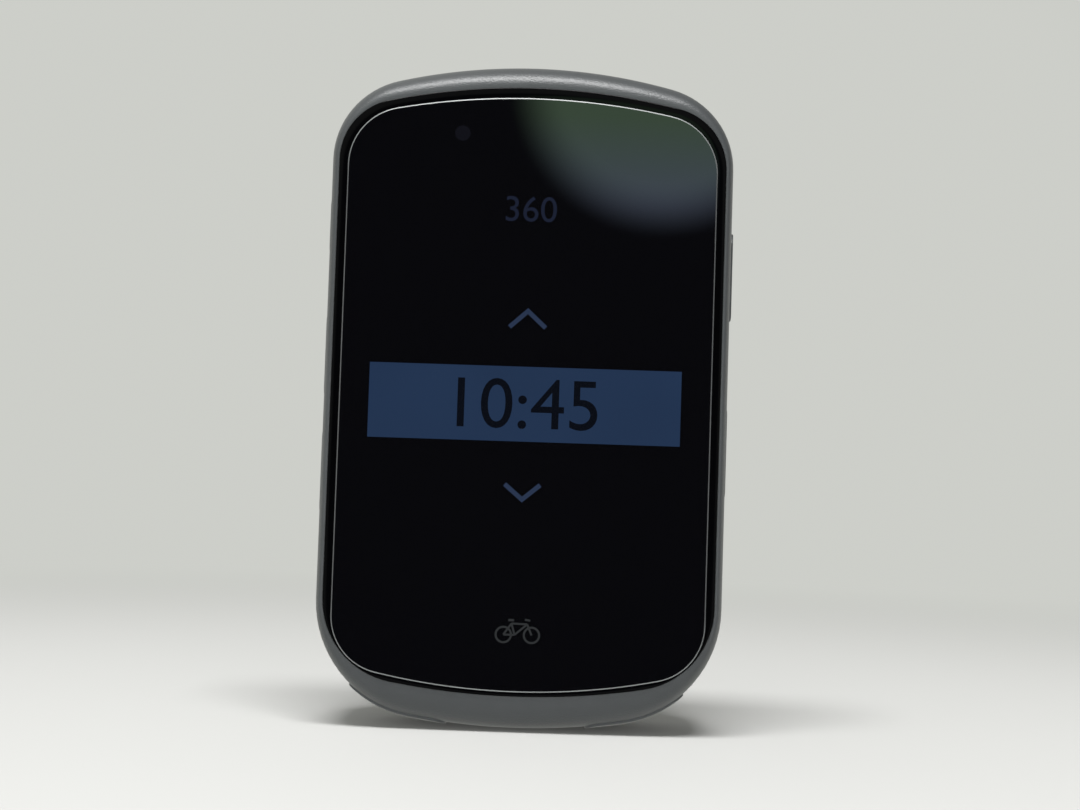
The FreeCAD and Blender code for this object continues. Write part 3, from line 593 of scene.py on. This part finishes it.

# The bicycle mark: grey print on the glass, made to glow with a painted glow.
bm = bmesh.new()
wheel_radius, wheel_x, wheel_z = 1.05, 1.7, -29.2
for side in (-1, 1):
    bmesh.ops.create_circle(bm, cap_ends=False, segments=40, radius=wheel_radius,
                            matrix=Matrix.Translation((side * wheel_x, on_glass, wheel_z))
                            @ Matrix.Rotation(math.pi / 2, 4, "X"))
rims = bmesh.ops.extrude_edge_only(bm, edges=bm.edges[:])
for side in (-1, 1):
    inner = [v for v in new_verts(rims) if v.co.x * side > 0]
    bmesh.ops.scale(bm, vec=(0.76, 1, 0.76), verts=inner,
                    space=Matrix.Translation((-side * wheel_x, 0, -wheel_z)))
hub, crank = (-wheel_x, wheel_z), (-0.35, wheel_z)
seat, head, front_hub = (-0.75, wheel_z + 1.35), (1.15, wheel_z + 1.3), (wheel_x, wheel_z)
for start, end in ((hub, crank), (hub, seat), (crank, seat), (crank, head), (seat, head), (head, front_hub)):
    bar(bm, start, end, 0.24, on_glass, glass_face + 0.01)
bar(bm, (-1.15, wheel_z + 1.75), (-0.45, wheel_z + 1.75), 0.28, on_glass, glass_face + 0.01)
bar(bm, (0.85, wheel_z + 1.85), (1.5, wheel_z + 1.75), 0.24, on_glass, glass_face + 0.01)
cycle_mark = to_object(bm, "display_cycle_mark")
settle(cycle_mark, mark_grey, "case", "display")

# The light sensor's window: a small dark disc given a faint painted glow.
bm = bmesh.new()
bmesh.ops.create_cone(bm, cap_ends=True, segments=40, radius1=0.95, radius2=0.95, depth=0.02)
bmesh.ops.rotate(bm, verts=bm.verts, cent=(0, 0, 0), matrix=Matrix.Rotation(math.pi / 2, 3, "X"))
bmesh.ops.translate(bm, vec=(-8.7, glass_face - 0.002, 31.6), verts=bm.verts)
sensor_window = to_object(bm, "sensor_window")
settle(sensor_window, sensor_painted_glow, "case", "display")


# ---- Rear cover ----
# The back half of the case, moulded in matt black polycarbonate. Four screws pull it against
# the housing, over a seal, and the round boss in its middle carries the mount.

cover_low, cover_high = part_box("rear_cover")
cover_front = depth_of(cover_low.y)
boss_face = depth_of(cover_high.y)
mount_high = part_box("quarter_turn_mount")[1]
mount_back = depth_of(mount_high.y)
mount_z = -middle_z / MM
back_outline = outline(21.9, 37.4, 66.0, 8.0, -37.4, 74.0, 11.2)
back_face = 16.0
back_rounding = 11.5
cover_inside = 14.4
boss_radius = 12.4
black = plastic("cover_black", (0.020, 0.020, 0.022), 0.50, 4200.0, 0.00002, 0.10)

rear_roll = []
for i in range(1, 13):
    t = math.radians(90 * i / 12)
    rear_roll.append((between(widest, back_outline, 1 - math.cos(t)),
                      back_rounding + (back_face - back_rounding) * math.sin(t)))
front_lip = [(inset(widest, 0.12), cover_front), (inset(widest, 0.035), cover_front + 0.035),
             (widest, cover_front + 0.12), (widest, 10.3), (widest, back_rounding)]
cavity = [(inset(back_outline, wall), cover_inside), (inset(widest, wall), back_rounding),
          (inset(widest, wall), cover_front)]


def capped(name, sections):
    """A closed solid through a list of sections, with its two ends filled."""
    bm = bmesh.new()
    loops = [barrel_loop(bm, s, d) for s, d in sections]
    bridge(bm, loops)
    bmesh.ops.edgeloop_fill(bm, edges=loops[0])
    bmesh.ops.edgeloop_fill(bm, edges=loops[-1])
    return to_object(bm, name)


def turned(name, x, z, radius, front, back, segments=48):
    """A round bar through the thickness of the device."""
    bm = bmesh.new()
    bmesh.ops.create_cone(bm, cap_ends=True, segments=segments, radius1=radius, radius2=radius,
                          depth=back - front)
    bmesh.ops.rotate(bm, verts=bm.verts, cent=(0, 0, 0), matrix=Matrix.Rotation(math.pi / 2, 3, "X"))
    bmesh.ops.translate(bm, vec=(x, (front + back) / 2, z), verts=bm.verts)
    return to_object(bm, name)


def rounded_block(name, x0, x1, front, back, z0, z1, radius, along="Y"):
    """A block whose four edges that run along one direction are rounded."""
    bm = bmesh.new()
    plate(bm, x0, x1, z0, z1, front, back)
    axis = {"X": 0, "Y": 1, "Z": 2}[along]
    edges = [e for e in bm.edges if abs((e.verts[1].co - e.verts[0].co).normalized()[axis]) > 0.99]
    bmesh.ops.bevel(bm, geom=edges, offset=radius, offset_type="OFFSET", segments=8, profile=0.5,
                    affect="EDGES", clamp_overlap=True, material=-1)
    return to_object(bm, name)


rear_cover = capped("rear_cover_shell", cavity + front_lip + rear_roll)
boss = turned("boss", 0, mount_z, boss_radius, 15.0, boss_face, 96)
carve(rear_cover, boss, "UNION")

case_screw_places = [(-19.3, 33.6), (19.3, 33.6), (-20.3, -31.0), (20.3, -31.0)]
for x, z in case_screw_places:
    carve(rear_cover, turned("post", x, z, 2.1, 10.0, 15.0), "UNION")
    carve(rear_cover, turned("counterbore", x, z, 1.6, 13.4, 18))
vent_z = 32.0
for x in (-2.2, 0, 2.2):
    carve(rear_cover, turned("vent", x, vent_z, 0.5, 13, 18, 24))

tether_z = -29.0
pocket_half = 4.6
bridge_half = 1.3
tether_block = rounded_block("tether_block", -5.6, 5.6, 11.9, 15.0, tether_z - 3.2, tether_z + 3.2, 0.4)
carve(rear_cover, tether_block, "UNION")
for side in (-1, 1):
    inner, outer = sorted((side * bridge_half, side * pocket_half))
    carve(rear_cover, rounded_block("pocket", inner, outer, 13.2, 18, tether_z - 2.2, tether_z + 2.2, 0.9))
bm = bmesh.new()
bmesh.ops.create_cone(bm, cap_ends=True, segments=32, radius1=0.85, radius2=0.85, depth=2 * bridge_half + 0.6)
bmesh.ops.rotate(bm, verts=bm.verts, cent=(0, 0, 0), matrix=Matrix.Rotation(math.pi / 2, 3, "Y"))
bmesh.ops.translate(bm, vec=(0, 14.75, tether_z), verts=bm.verts)
carve(rear_cover, to_object(bm, "tether_bore"))

cap_floor = -40.1
below_case = -42.5
cap_half = 6.3
anchor_half = 2.55
socket_depth = 11.3
window_half_x, window_half_y = 4.0, 1.45
carve(rear_cover, rounded_block("cap_recess", -cap_half - 0.12, cap_half + 0.12, 9.73, 14.05,
                                below_case, cap_floor, 0.8, "Z"))
carve(rear_cover, rounded_block("socket_window", -window_half_x, window_half_x, socket_depth - window_half_y,
                                socket_depth + window_half_y, below_case, -37, 0.6, "Z"))
carve(rear_cover, rounded_block("anchor_slot", -anchor_half - 0.05, anchor_half + 0.05, 14.0, 15.0,
                                below_case, -38.4, 0.1, "Z"))
smooth(rear_cover)
settle(rear_cover, black, "case", "cover_black", "rear_cover")


# ---- Charging socket's cap ----
# One piece of soft black rubber: a flap that lies flush with the case, a plug that fills
# the socket's window, and a thin strap that ends in an anchor pressed into the cover.

def soft(name, colour, roughness, grain, depth):
    """Rubber: matt and a little dusty, with a soft sheen at glancing angles."""
    material = plastic(name, colour, roughness, grain, depth, 0.18)
    shader = material.node_tree.nodes["Principled BSDF"]
    shader.inputs["Sheen Weight"].default_value = 0.25
    shader.inputs["Sheen Roughness"].default_value = 0.5
    return material


rubber = soft("cap_rubber", (0.016, 0.016, 0.017), 0.66, 2600.0, 0.00003)


def ease(piece, width, angle=50):
    """Rounds the hard edges of a finished mesh."""
    bm = bmesh.new()
    bm.from_mesh(piece.data)
    bmesh.ops.dissolve_degenerate(bm, dist=1e-6, edges=bm.edges)
    hard = [e for e in bm.edges if e.is_manifold and e.calc_face_angle(0) > math.radians(angle)]
    bmesh.ops.bevel(bm, geom=hard, offset=width * MM, offset_type="OFFSET", segments=3, profile=0.5,
                    affect="EDGES", clamp_overlap=True, material=-1)
    bm.to_mesh(piece.data)
    bm.free()


flap = rounded_block("usb_cap_flap", -cap_half, cap_half, 9.85, 13.1, below_case, cap_floor - 0.02, 0.7, "Z")
carve(flap, capped("cover_form", front_lip + rear_roll), "INTERSECT")
ease(flap, 0.12)
plug = rounded_block("usb_cap_plug", -3.7, 3.7, 10.2, 12.5, cap_floor - 0.5, -39.3, 0.7, "Z")
ease(plug, 0.2)
carve(flap, plug, "UNION")
smooth(flap, 40)
settle(flap, rubber, "usb_cap_body", "rubber_black", "usb_cap")

anchor = rounded_block("usb_cap_anchor_foot", -anchor_half, anchor_half, 14.06, 14.96,
                       below_case, -38.44, 0.1, "Z")
carve(anchor, capped("cover_form", [(inset(s, 0.02), d) for s, d in front_lip + rear_roll]), "INTERSECT")
smooth(anchor, 40)
settle(anchor, rubber, "case", "rubber_black", "usb_cap_anchor")

strap_front, strap_back = 12.8, 14.3
strap_half = 2.3
strap_thick = 0.27
bm = bmesh.new()
bmesh.ops.create_grid(bm, x_segments=6, y_segments=14, size=1)
bmesh.ops.scale(bm, vec=(strap_half, (strap_back - strap_front) / 2, 1), verts=bm.verts)
bmesh.ops.translate(bm, vec=(0, (strap_front + strap_back) / 2, cap_floor - 0.03), verts=bm.verts)
grown = bmesh.ops.extrude_face_region(bm, geom=bm.faces[:])
bmesh.ops.translate(bm, vec=(0, 0, -strap_thick), verts=new_verts(grown))
strap = to_object(bm, "usb_cap_strap")
smooth(strap, 40)
strap.data.materials.append(rubber)
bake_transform(strap)


# ---- Quarter-turn mount ----
# A black glass-filled nylon disc with two bayonet tabs, held to the boss by four screws, so
# that it can be replaced when the tabs wear.

tab_radius = mount_high.x / MM
tab_half_angle = math.radians(27)
tab_front = 18.2
bm = bmesh.new()
bearing = -tab_half_angle
vert = bm.verts.new((boss_radius * math.cos(bearing), 0, boss_radius * math.sin(bearing)))
for radius, sweep in ((tab_radius, 2 * tab_half_angle), (boss_radius, math.pi - 2 * tab_half_angle)) * 2:
    if radius == tab_radius:
        vert = bmesh.ops.extrude_vert_indiv(bm, verts=[vert])["verts"][0]
        vert.co = Vector((math.cos(bearing), 0, math.sin(bearing))) * radius
    vert = spin_on(bm, vert, (0, 0, 0), -sweep, 26 if radius == tab_radius else 44)
    bearing += sweep
    if radius == tab_radius:
        vert = bmesh.ops.extrude_vert_indiv(bm, verts=[vert])["verts"][0]
        vert.co = Vector((math.cos(bearing), 0, math.sin(bearing))) * boss_radius
bmesh.ops.remove_doubles(bm, verts=bm.verts, dist=0.01)
face = bmesh.ops.contextual_create(bm, geom=bm.edges[:])["faces"]
grown = bmesh.ops.extrude_face_region(bm, geom=face)
bmesh.ops.translate(bm, vec=(0, mount_back - tab_front, 0), verts=new_verts(grown))
bmesh.ops.translate(bm, vec=(0, tab_front, mount_z), verts=bm.verts)
mount = to_object(bm, "quarter_turn_bayonet")
ease(mount, 0.28, 30)
carve(mount, turned("disc", 0, mount_z, boss_radius - 0.05, boss_face + 0.01, tab_front + 0.5, 96), "UNION")
screw_circle = 8.6
bearings = [math.radians(a) for a in (45, 135, 225, 315)]
mount_screw_places = [(screw_circle * math.cos(a), mount_z + screw_circle * math.sin(a)) for a in bearings]
for x, z in mount_screw_places:
    carve(mount, turned("mount_counterbore", x, z, 1.6, 18.9, 21, 36))
carve(mount, turned("mount_dish", 0, mount_z, 5.2, mount_back - 0.35, 21, 64))
smooth(mount)
nylon = plastic("mount_nylon", (0.014, 0.014, 0.015), 0.42, 3000.0, 0.000025, 0.15)
settle(mount, nylon, "case", "mount_black", "quarter_turn_mount")


# ---- Screws ----
# Pan-head machine screws in dark plated steel with a hexagon recess: four hold the rear
# cover and four hold the mount.

def metal(name, colour, roughness):
    material = gloss(name, colour, roughness)
    material.node_tree.nodes["Principled BSDF"].inputs["Metallic"].default_value = 1.0
    return material


def pan_screws(name, places, seat, head_height, shank):
    """Screw heads with short shanks, each with its recess cut before it's copied."""
    one = turned(name + "_head", 0, 0, 1.45, seat, seat + head_height, 36)
    ease(one, 0.3, 60)
    carve(one, turned("shank", 0, 0, 0.8, seat - shank, seat + 0.1, 24), "UNION")
    carve(one, turned("recess", 0, 0, 0.85, seat + head_height * 0.45, seat + head_height + 1, 6))
    bm = bmesh.new()
    for x, z in places:
        old = set(bm.verts)
        bm.from_mesh(one.data)
        bmesh.ops.translate(bm, vec=(x * MM, 0, z * MM), verts=[v for v in bm.verts if v not in old])
    mesh = bpy.data.meshes.new(name)
    bm.to_mesh(mesh)
    bm.free()
    bpy.data.objects.remove(one)
    piece = bpy.data.objects.new(name, mesh)
    scene.collection.objects.link(piece)
    smooth(piece, 35)
    return piece


dark_steel = metal("screw_steel", (0.30, 0.30, 0.31), 0.30)
cover_screws = pan_screws("case_screw_set", case_screw_places, 13.41, 1.0, 4.0)
settle(cover_screws, dark_steel, "case", "screw_steel", "case_screws")
bayonet_screws = pan_screws("mount_screw_set", mount_screw_places, 18.91, 0.9, 0.8)
settle(bayonet_screws, dark_steel, "case", "screw_steel", "mount_screws")


# ---- Pieces inside the case ----
# The display's layers, boards, battery, switches, seals and inner screws keep their CAD
# shape. They show only where the case is open, and each group has its own finish.

inside_finishes = [
    (soft("seal_silicone", (0.05, 0.05, 0.052), 0.6, 2400.0, 0.00002),
     ["perimeter_seal", "left_key_seal", "right_key_seal", "bottom_key_seal", "usb_seal"]),
    (soft("foam_black", (0.02, 0.02, 0.02), 0.9, 6000.0, 0.00012), ["display_foam"]),
    (soft("tape_black", (0.012, 0.012, 0.012), 0.7, 3000.0, 0.00001), ["lens_adhesive", "battery_tape"]),
    (gloss("panel_glass", (0.006, 0.006, 0.009), 0.05), ["display_panel"]),
    (gloss("light_guide_white", (0.75, 0.76, 0.78), 0.25), ["backlight"]),
    (gloss("pipe_clear", (0.30, 0.31, 0.32), 0.08, 0.5), ["light_pipe"]),
    (metal("sheet_steel", (0.60, 0.60, 0.58), 0.30),
     ["display_frame", "cpu_shield", "rf_shield", "left_key_domes", "right_key_domes", "bottom_key_domes",
      "left_key_bracket", "right_key_bracket", "bottom_key_bracket", "usb_socket", "board_screws",
      "frame_screws"]),
    (plastic("flex_amber", (0.36, 0.16, 0.03), 0.35, 900.0, 0.00001, 0.1),
     ["display_flex", "left_key_flex", "right_key_flex", "bottom_key_flex"]),
    (plastic("frame_grey", (0.045, 0.046, 0.048), 0.55, 3000.0, 0.00002, 0.1), ["mid_frame"]),
    (plastic("board_green", (0.010, 0.055, 0.030), 0.35, 700.0, 0.00003, 0.25), ["main_board"]),
    (plastic("chip_black", (0.018, 0.018, 0.019), 0.45, 5000.0, 0.00001, 0.1),
     ["processor", "rf_module", "light_sensor", "pressure_sensor", "beeper"]),
    (plastic("antenna_ceramic", (0.55, 0.50, 0.40), 0.40, 2500.0, 0.00001, 0.08),
     ["gps_antenna", "wireless_antenna"]),
    (plastic("connector_ivory", (0.62, 0.60, 0.53), 0.45, 2000.0, 0.00001, 0.05),
     ["display_connector", "battery_connector"]),
    (plastic("membrane_white", (0.75, 0.75, 0.74), 0.8, 7000.0, 0.00002, 0.05), ["vent_membrane"]),
    (metal("battery_foil", (0.66, 0.66, 0.64), 0.42), ["battery"]),
    (plastic("wire_red", (0.45, 0.02, 0.015), 0.45, 1500.0, 0.00001, 0.08), ["battery_lead"]),
]
for finish, names in inside_finishes:
    for name in names:
        nodes[name].data.materials.clear()
        nodes[name].data.materials.append(finish)


# ---- Floor and surroundings ----
# A wide, plain pale cloth. Away from the object it turns into the colour of the surroundings,
# so that the reader sees no edge or horizon behind the device.

room = (0.61, 0.62, 0.585)
cloth_light = (0.45, 0.45, 0.44)
bm = bmesh.new()
bmesh.ops.create_circle(bm, cap_ends=True, segments=96, radius=8.0)
bmesh.ops.translate(bm, vec=(0, 0, case_low.z), verts=bm.verts)
floor_mesh = bpy.data.meshes.new("floor")
bm.to_mesh(floor_mesh)
bm.free()
floor = bpy.data.objects.new("floor", floor_mesh)
scene.collection.objects.link(floor)
floor.visible_glossy = False


def room_light(tree, direction):
    """Brightness of the surroundings in a direction: dimmer overhead and towards the right."""
    bearing = tree.nodes.new("ShaderNodeVectorMath")
    bearing.operation = "DOT_PRODUCT"
    bearing.inputs[1].default_value = (0.6, 0.0, 0.8)
    tree.links.new(direction, bearing.inputs[0])
    dim = tree.nodes.new("ShaderNodeMapRange")
    dim.interpolation_type = "SMOOTHSTEP"
    dim.inputs["From Min"].default_value = 0.36
    dim.inputs["From Max"].default_value = 0.80
    dim.inputs["To Min"].default_value = 1.0
    dim.inputs["To Max"].default_value = 0.30
    tree.links.new(bearing.outputs["Value"], dim.inputs["Value"])
    return dim.outputs["Result"]


def pale_cloth():
    """Cloth near the object. Beyond a metre the floor has the brightness of the room behind it."""
    material = bpy.data.materials.new("pale_cloth")
    material.use_nodes = True
    tree = material.node_tree
    shader = tree.nodes["Principled BSDF"]
    shader.inputs["Base Color"].default_value = (*cloth_light, 1)
    shader.inputs["Roughness"].default_value = 0.95
    place = tree.nodes.new("ShaderNodeTexCoord").outputs["Object"]
    reach = tree.nodes.new("ShaderNodeVectorMath")
    reach.operation = "LENGTH"
    tree.links.new(place, reach.inputs[0])
    fade = tree.nodes.new("ShaderNodeMapRange")
    fade.interpolation_type = "SMOOTHSTEP"
    fade.inputs["From Min"].default_value = 0.08
    fade.inputs["From Max"].default_value = 0.36
    tree.links.new(reach.outputs["Value"], fade.inputs["Value"])
    at_least = tree.nodes.new("ShaderNodeMath")
    at_least.operation = "MAXIMUM"
    at_least.inputs[1].default_value = 1.0
    tree.links.new(reach.outputs["Value"], at_least.inputs[0])
    inverse = tree.nodes.new("ShaderNodeMath")
    inverse.operation = "DIVIDE"
    inverse.inputs[0].default_value = 1.0
    tree.links.new(at_least.outputs["Value"], inverse.inputs[1])
    bearing = tree.nodes.new("ShaderNodeVectorMath")
    bearing.operation = "SCALE"
    tree.links.new(place, bearing.inputs[0])
    tree.links.new(inverse.outputs["Value"], bearing.inputs["Scale"])
    far = tree.nodes.new("ShaderNodeEmission")
    far.inputs["Color"].default_value = (*room, 1)
    tree.links.new(room_light(tree, bearing.outputs["Vector"]), far.inputs["Strength"])
    mix = tree.nodes.new("ShaderNodeMixShader")
    tree.links.new(fade.outputs["Result"], mix.inputs["Fac"])
    tree.links.new(shader.outputs["BSDF"], mix.inputs[1])
    tree.links.new(far.outputs["Emission"], mix.inputs[2])
    tree.links.new(mix.outputs["Shader"], tree.nodes["Material Output"].inputs["Surface"])
    return material


floor.data.materials.append(pale_cloth())


def pale_room():
    world = bpy.data.worlds.new("room")
    world.use_nodes = True
    tree = world.node_tree
    backdrop = tree.nodes["Background"]
    backdrop.inputs["Color"].default_value = (*room, 1)
    around = tree.nodes.new("ShaderNodeTexCoord").outputs["Generated"]
    tree.links.new(room_light(tree, around), backdrop.inputs["Strength"])
    return world


scene.world = pale_room()
scene.view_settings.view_transform = "Standard"


# ---- Lights ----
# A broad ceiling lamp puts a long highlight on the top edge of the case. A black card behind
# the reader keeps the glass dark, and a small lit one shows as a soft patch at its upper right.

def softbox(name, place, aim_at, size, power):
    light = bpy.data.lights.new(name, "AREA")
    light.shape = "RECTANGLE"
    light.size, light.size_y = size
    light.energy = power
    lamp = bpy.data.objects.new(name, light)
    scene.collection.objects.link(lamp)
    direction = Vector(place) - Vector(aim_at)
    lamp.matrix_world = Matrix.Translation(place) @ direction.to_track_quat("Z", "Y").to_matrix().to_4x4()
    lamp.visible_camera = False
    return lamp


softbox("ceiling_lamp", (-0.03, -0.22, 0.64), (0, 0, 0.03), (0.40, 0.16), 7.5)
bounce = softbox("floor_bounce", (0.0, -0.30, -0.02), (0, 0, -0.04), (0.36, 0.05), 1.1)
bounce.visible_glossy = False


def reflected_card(name, centre, radius):
    """A round card that only reflections can see."""
    bm = bmesh.new()
    bmesh.ops.create_circle(bm, cap_ends=True, segments=64, radius=radius)
    bmesh.ops.rotate(bm, verts=bm.verts, cent=(0, 0, 0), matrix=Matrix.Rotation(math.pi / 2, 3, "X"))
    bmesh.ops.translate(bm, vec=centre, verts=bm.verts)
    mesh = bpy.data.meshes.new(name)
    bm.to_mesh(mesh)
    bm.free()
    card = bpy.data.objects.new(name, mesh)
    scene.collection.objects.link(card)
    card.visible_camera = False
    card.visible_diffuse = False
    card.visible_shadow = False
    card.visible_transmission = False
    return card


dark_centre = (0, -0.345, 0.01)
dark_radius = 0.17
dark_card = reflected_card("dark_card", dark_centre, dark_radius)


def soft_rim(tree, shader, centre, start, end):
    """Lets a card's own shader give way to clear between two distances from its centre."""
    reach = tree.nodes.new("ShaderNodeVectorMath")
    reach.operation = "DISTANCE"
    reach.inputs[1].default_value = centre
    tree.links.new(tree.nodes.new("ShaderNodeTexCoord").outputs["Object"], reach.inputs[0])
    fade = tree.nodes.new("ShaderNodeMapRange")
    fade.interpolation_type = "SMOOTHSTEP"
    fade.inputs["From Min"].default_value = start
    fade.inputs["From Max"].default_value = end
    tree.links.new(reach.outputs["Value"], fade.inputs["Value"])
    mix = tree.nodes.new("ShaderNodeMixShader")
    tree.links.new(fade.outputs["Result"], mix.inputs["Fac"])
    tree.links.new(shader, mix.inputs[1])
    tree.links.new(tree.nodes.new("ShaderNodeBsdfTransparent").outputs["BSDF"], mix.inputs[2])
    tree.links.new(mix.outputs["Shader"], tree.nodes["Material Output"].inputs["Surface"])


velvet = bpy.data.materials.new("black_velvet")
velvet.use_nodes = True
nap = velvet.node_tree.nodes["Principled BSDF"]
nap.inputs["Base Color"].default_value = (0.0004, 0.0005, 0.0008, 1)
nap.inputs["Roughness"].default_value = 1.0
nap.inputs["Specular IOR Level"].default_value = 0.0
soft_rim(velvet.node_tree, nap.outputs["BSDF"], dark_centre, 0.14, dark_radius)
dark_card.data.materials.append(velvet)

card_centre = Vector((0.036, -0.320, 0.109))
card_radius = 0.0435
card = reflected_card("soft_card", card_centre, card_radius * 1.2)


def soft_patch():
    """Light that fades out towards the card's rim, green-grey above and lilac-grey below."""
    material = bpy.data.materials.new("soft_patch")
    material.use_nodes = True
    tree = material.node_tree
    tree.nodes.remove(tree.nodes["Principled BSDF"])
    split = tree.nodes.new("ShaderNodeSeparateXYZ")
    tree.links.new(tree.nodes.new("ShaderNodeTexCoord").outputs["Object"], split.inputs["Vector"])
    height = tree.nodes.new("ShaderNodeMapRange")
    height.inputs["From Min"].default_value = 0.070
    height.inputs["From Max"].default_value = 0.098
    tree.links.new(split.outputs["Z"], height.inputs["Value"])
    tint = tree.nodes.new("ShaderNodeMix")
    tint.data_type = "RGBA"
    tint.inputs["A"].default_value = (1.15, 1.40, 1.95, 1)
    tint.inputs["B"].default_value = (0.92, 1.45, 0.92, 1)
    tree.links.new(height.outputs["Result"], tint.inputs["Factor"])
    glow = tree.nodes.new("ShaderNodeEmission")
    tree.links.new(tint.outputs["Result"], glow.inputs["Color"])
    soft_rim(tree, glow.outputs["Emission"], card_centre, card_radius * 0.70, card_radius * 1.12)
    return material


card.data.materials.append(soft_patch())
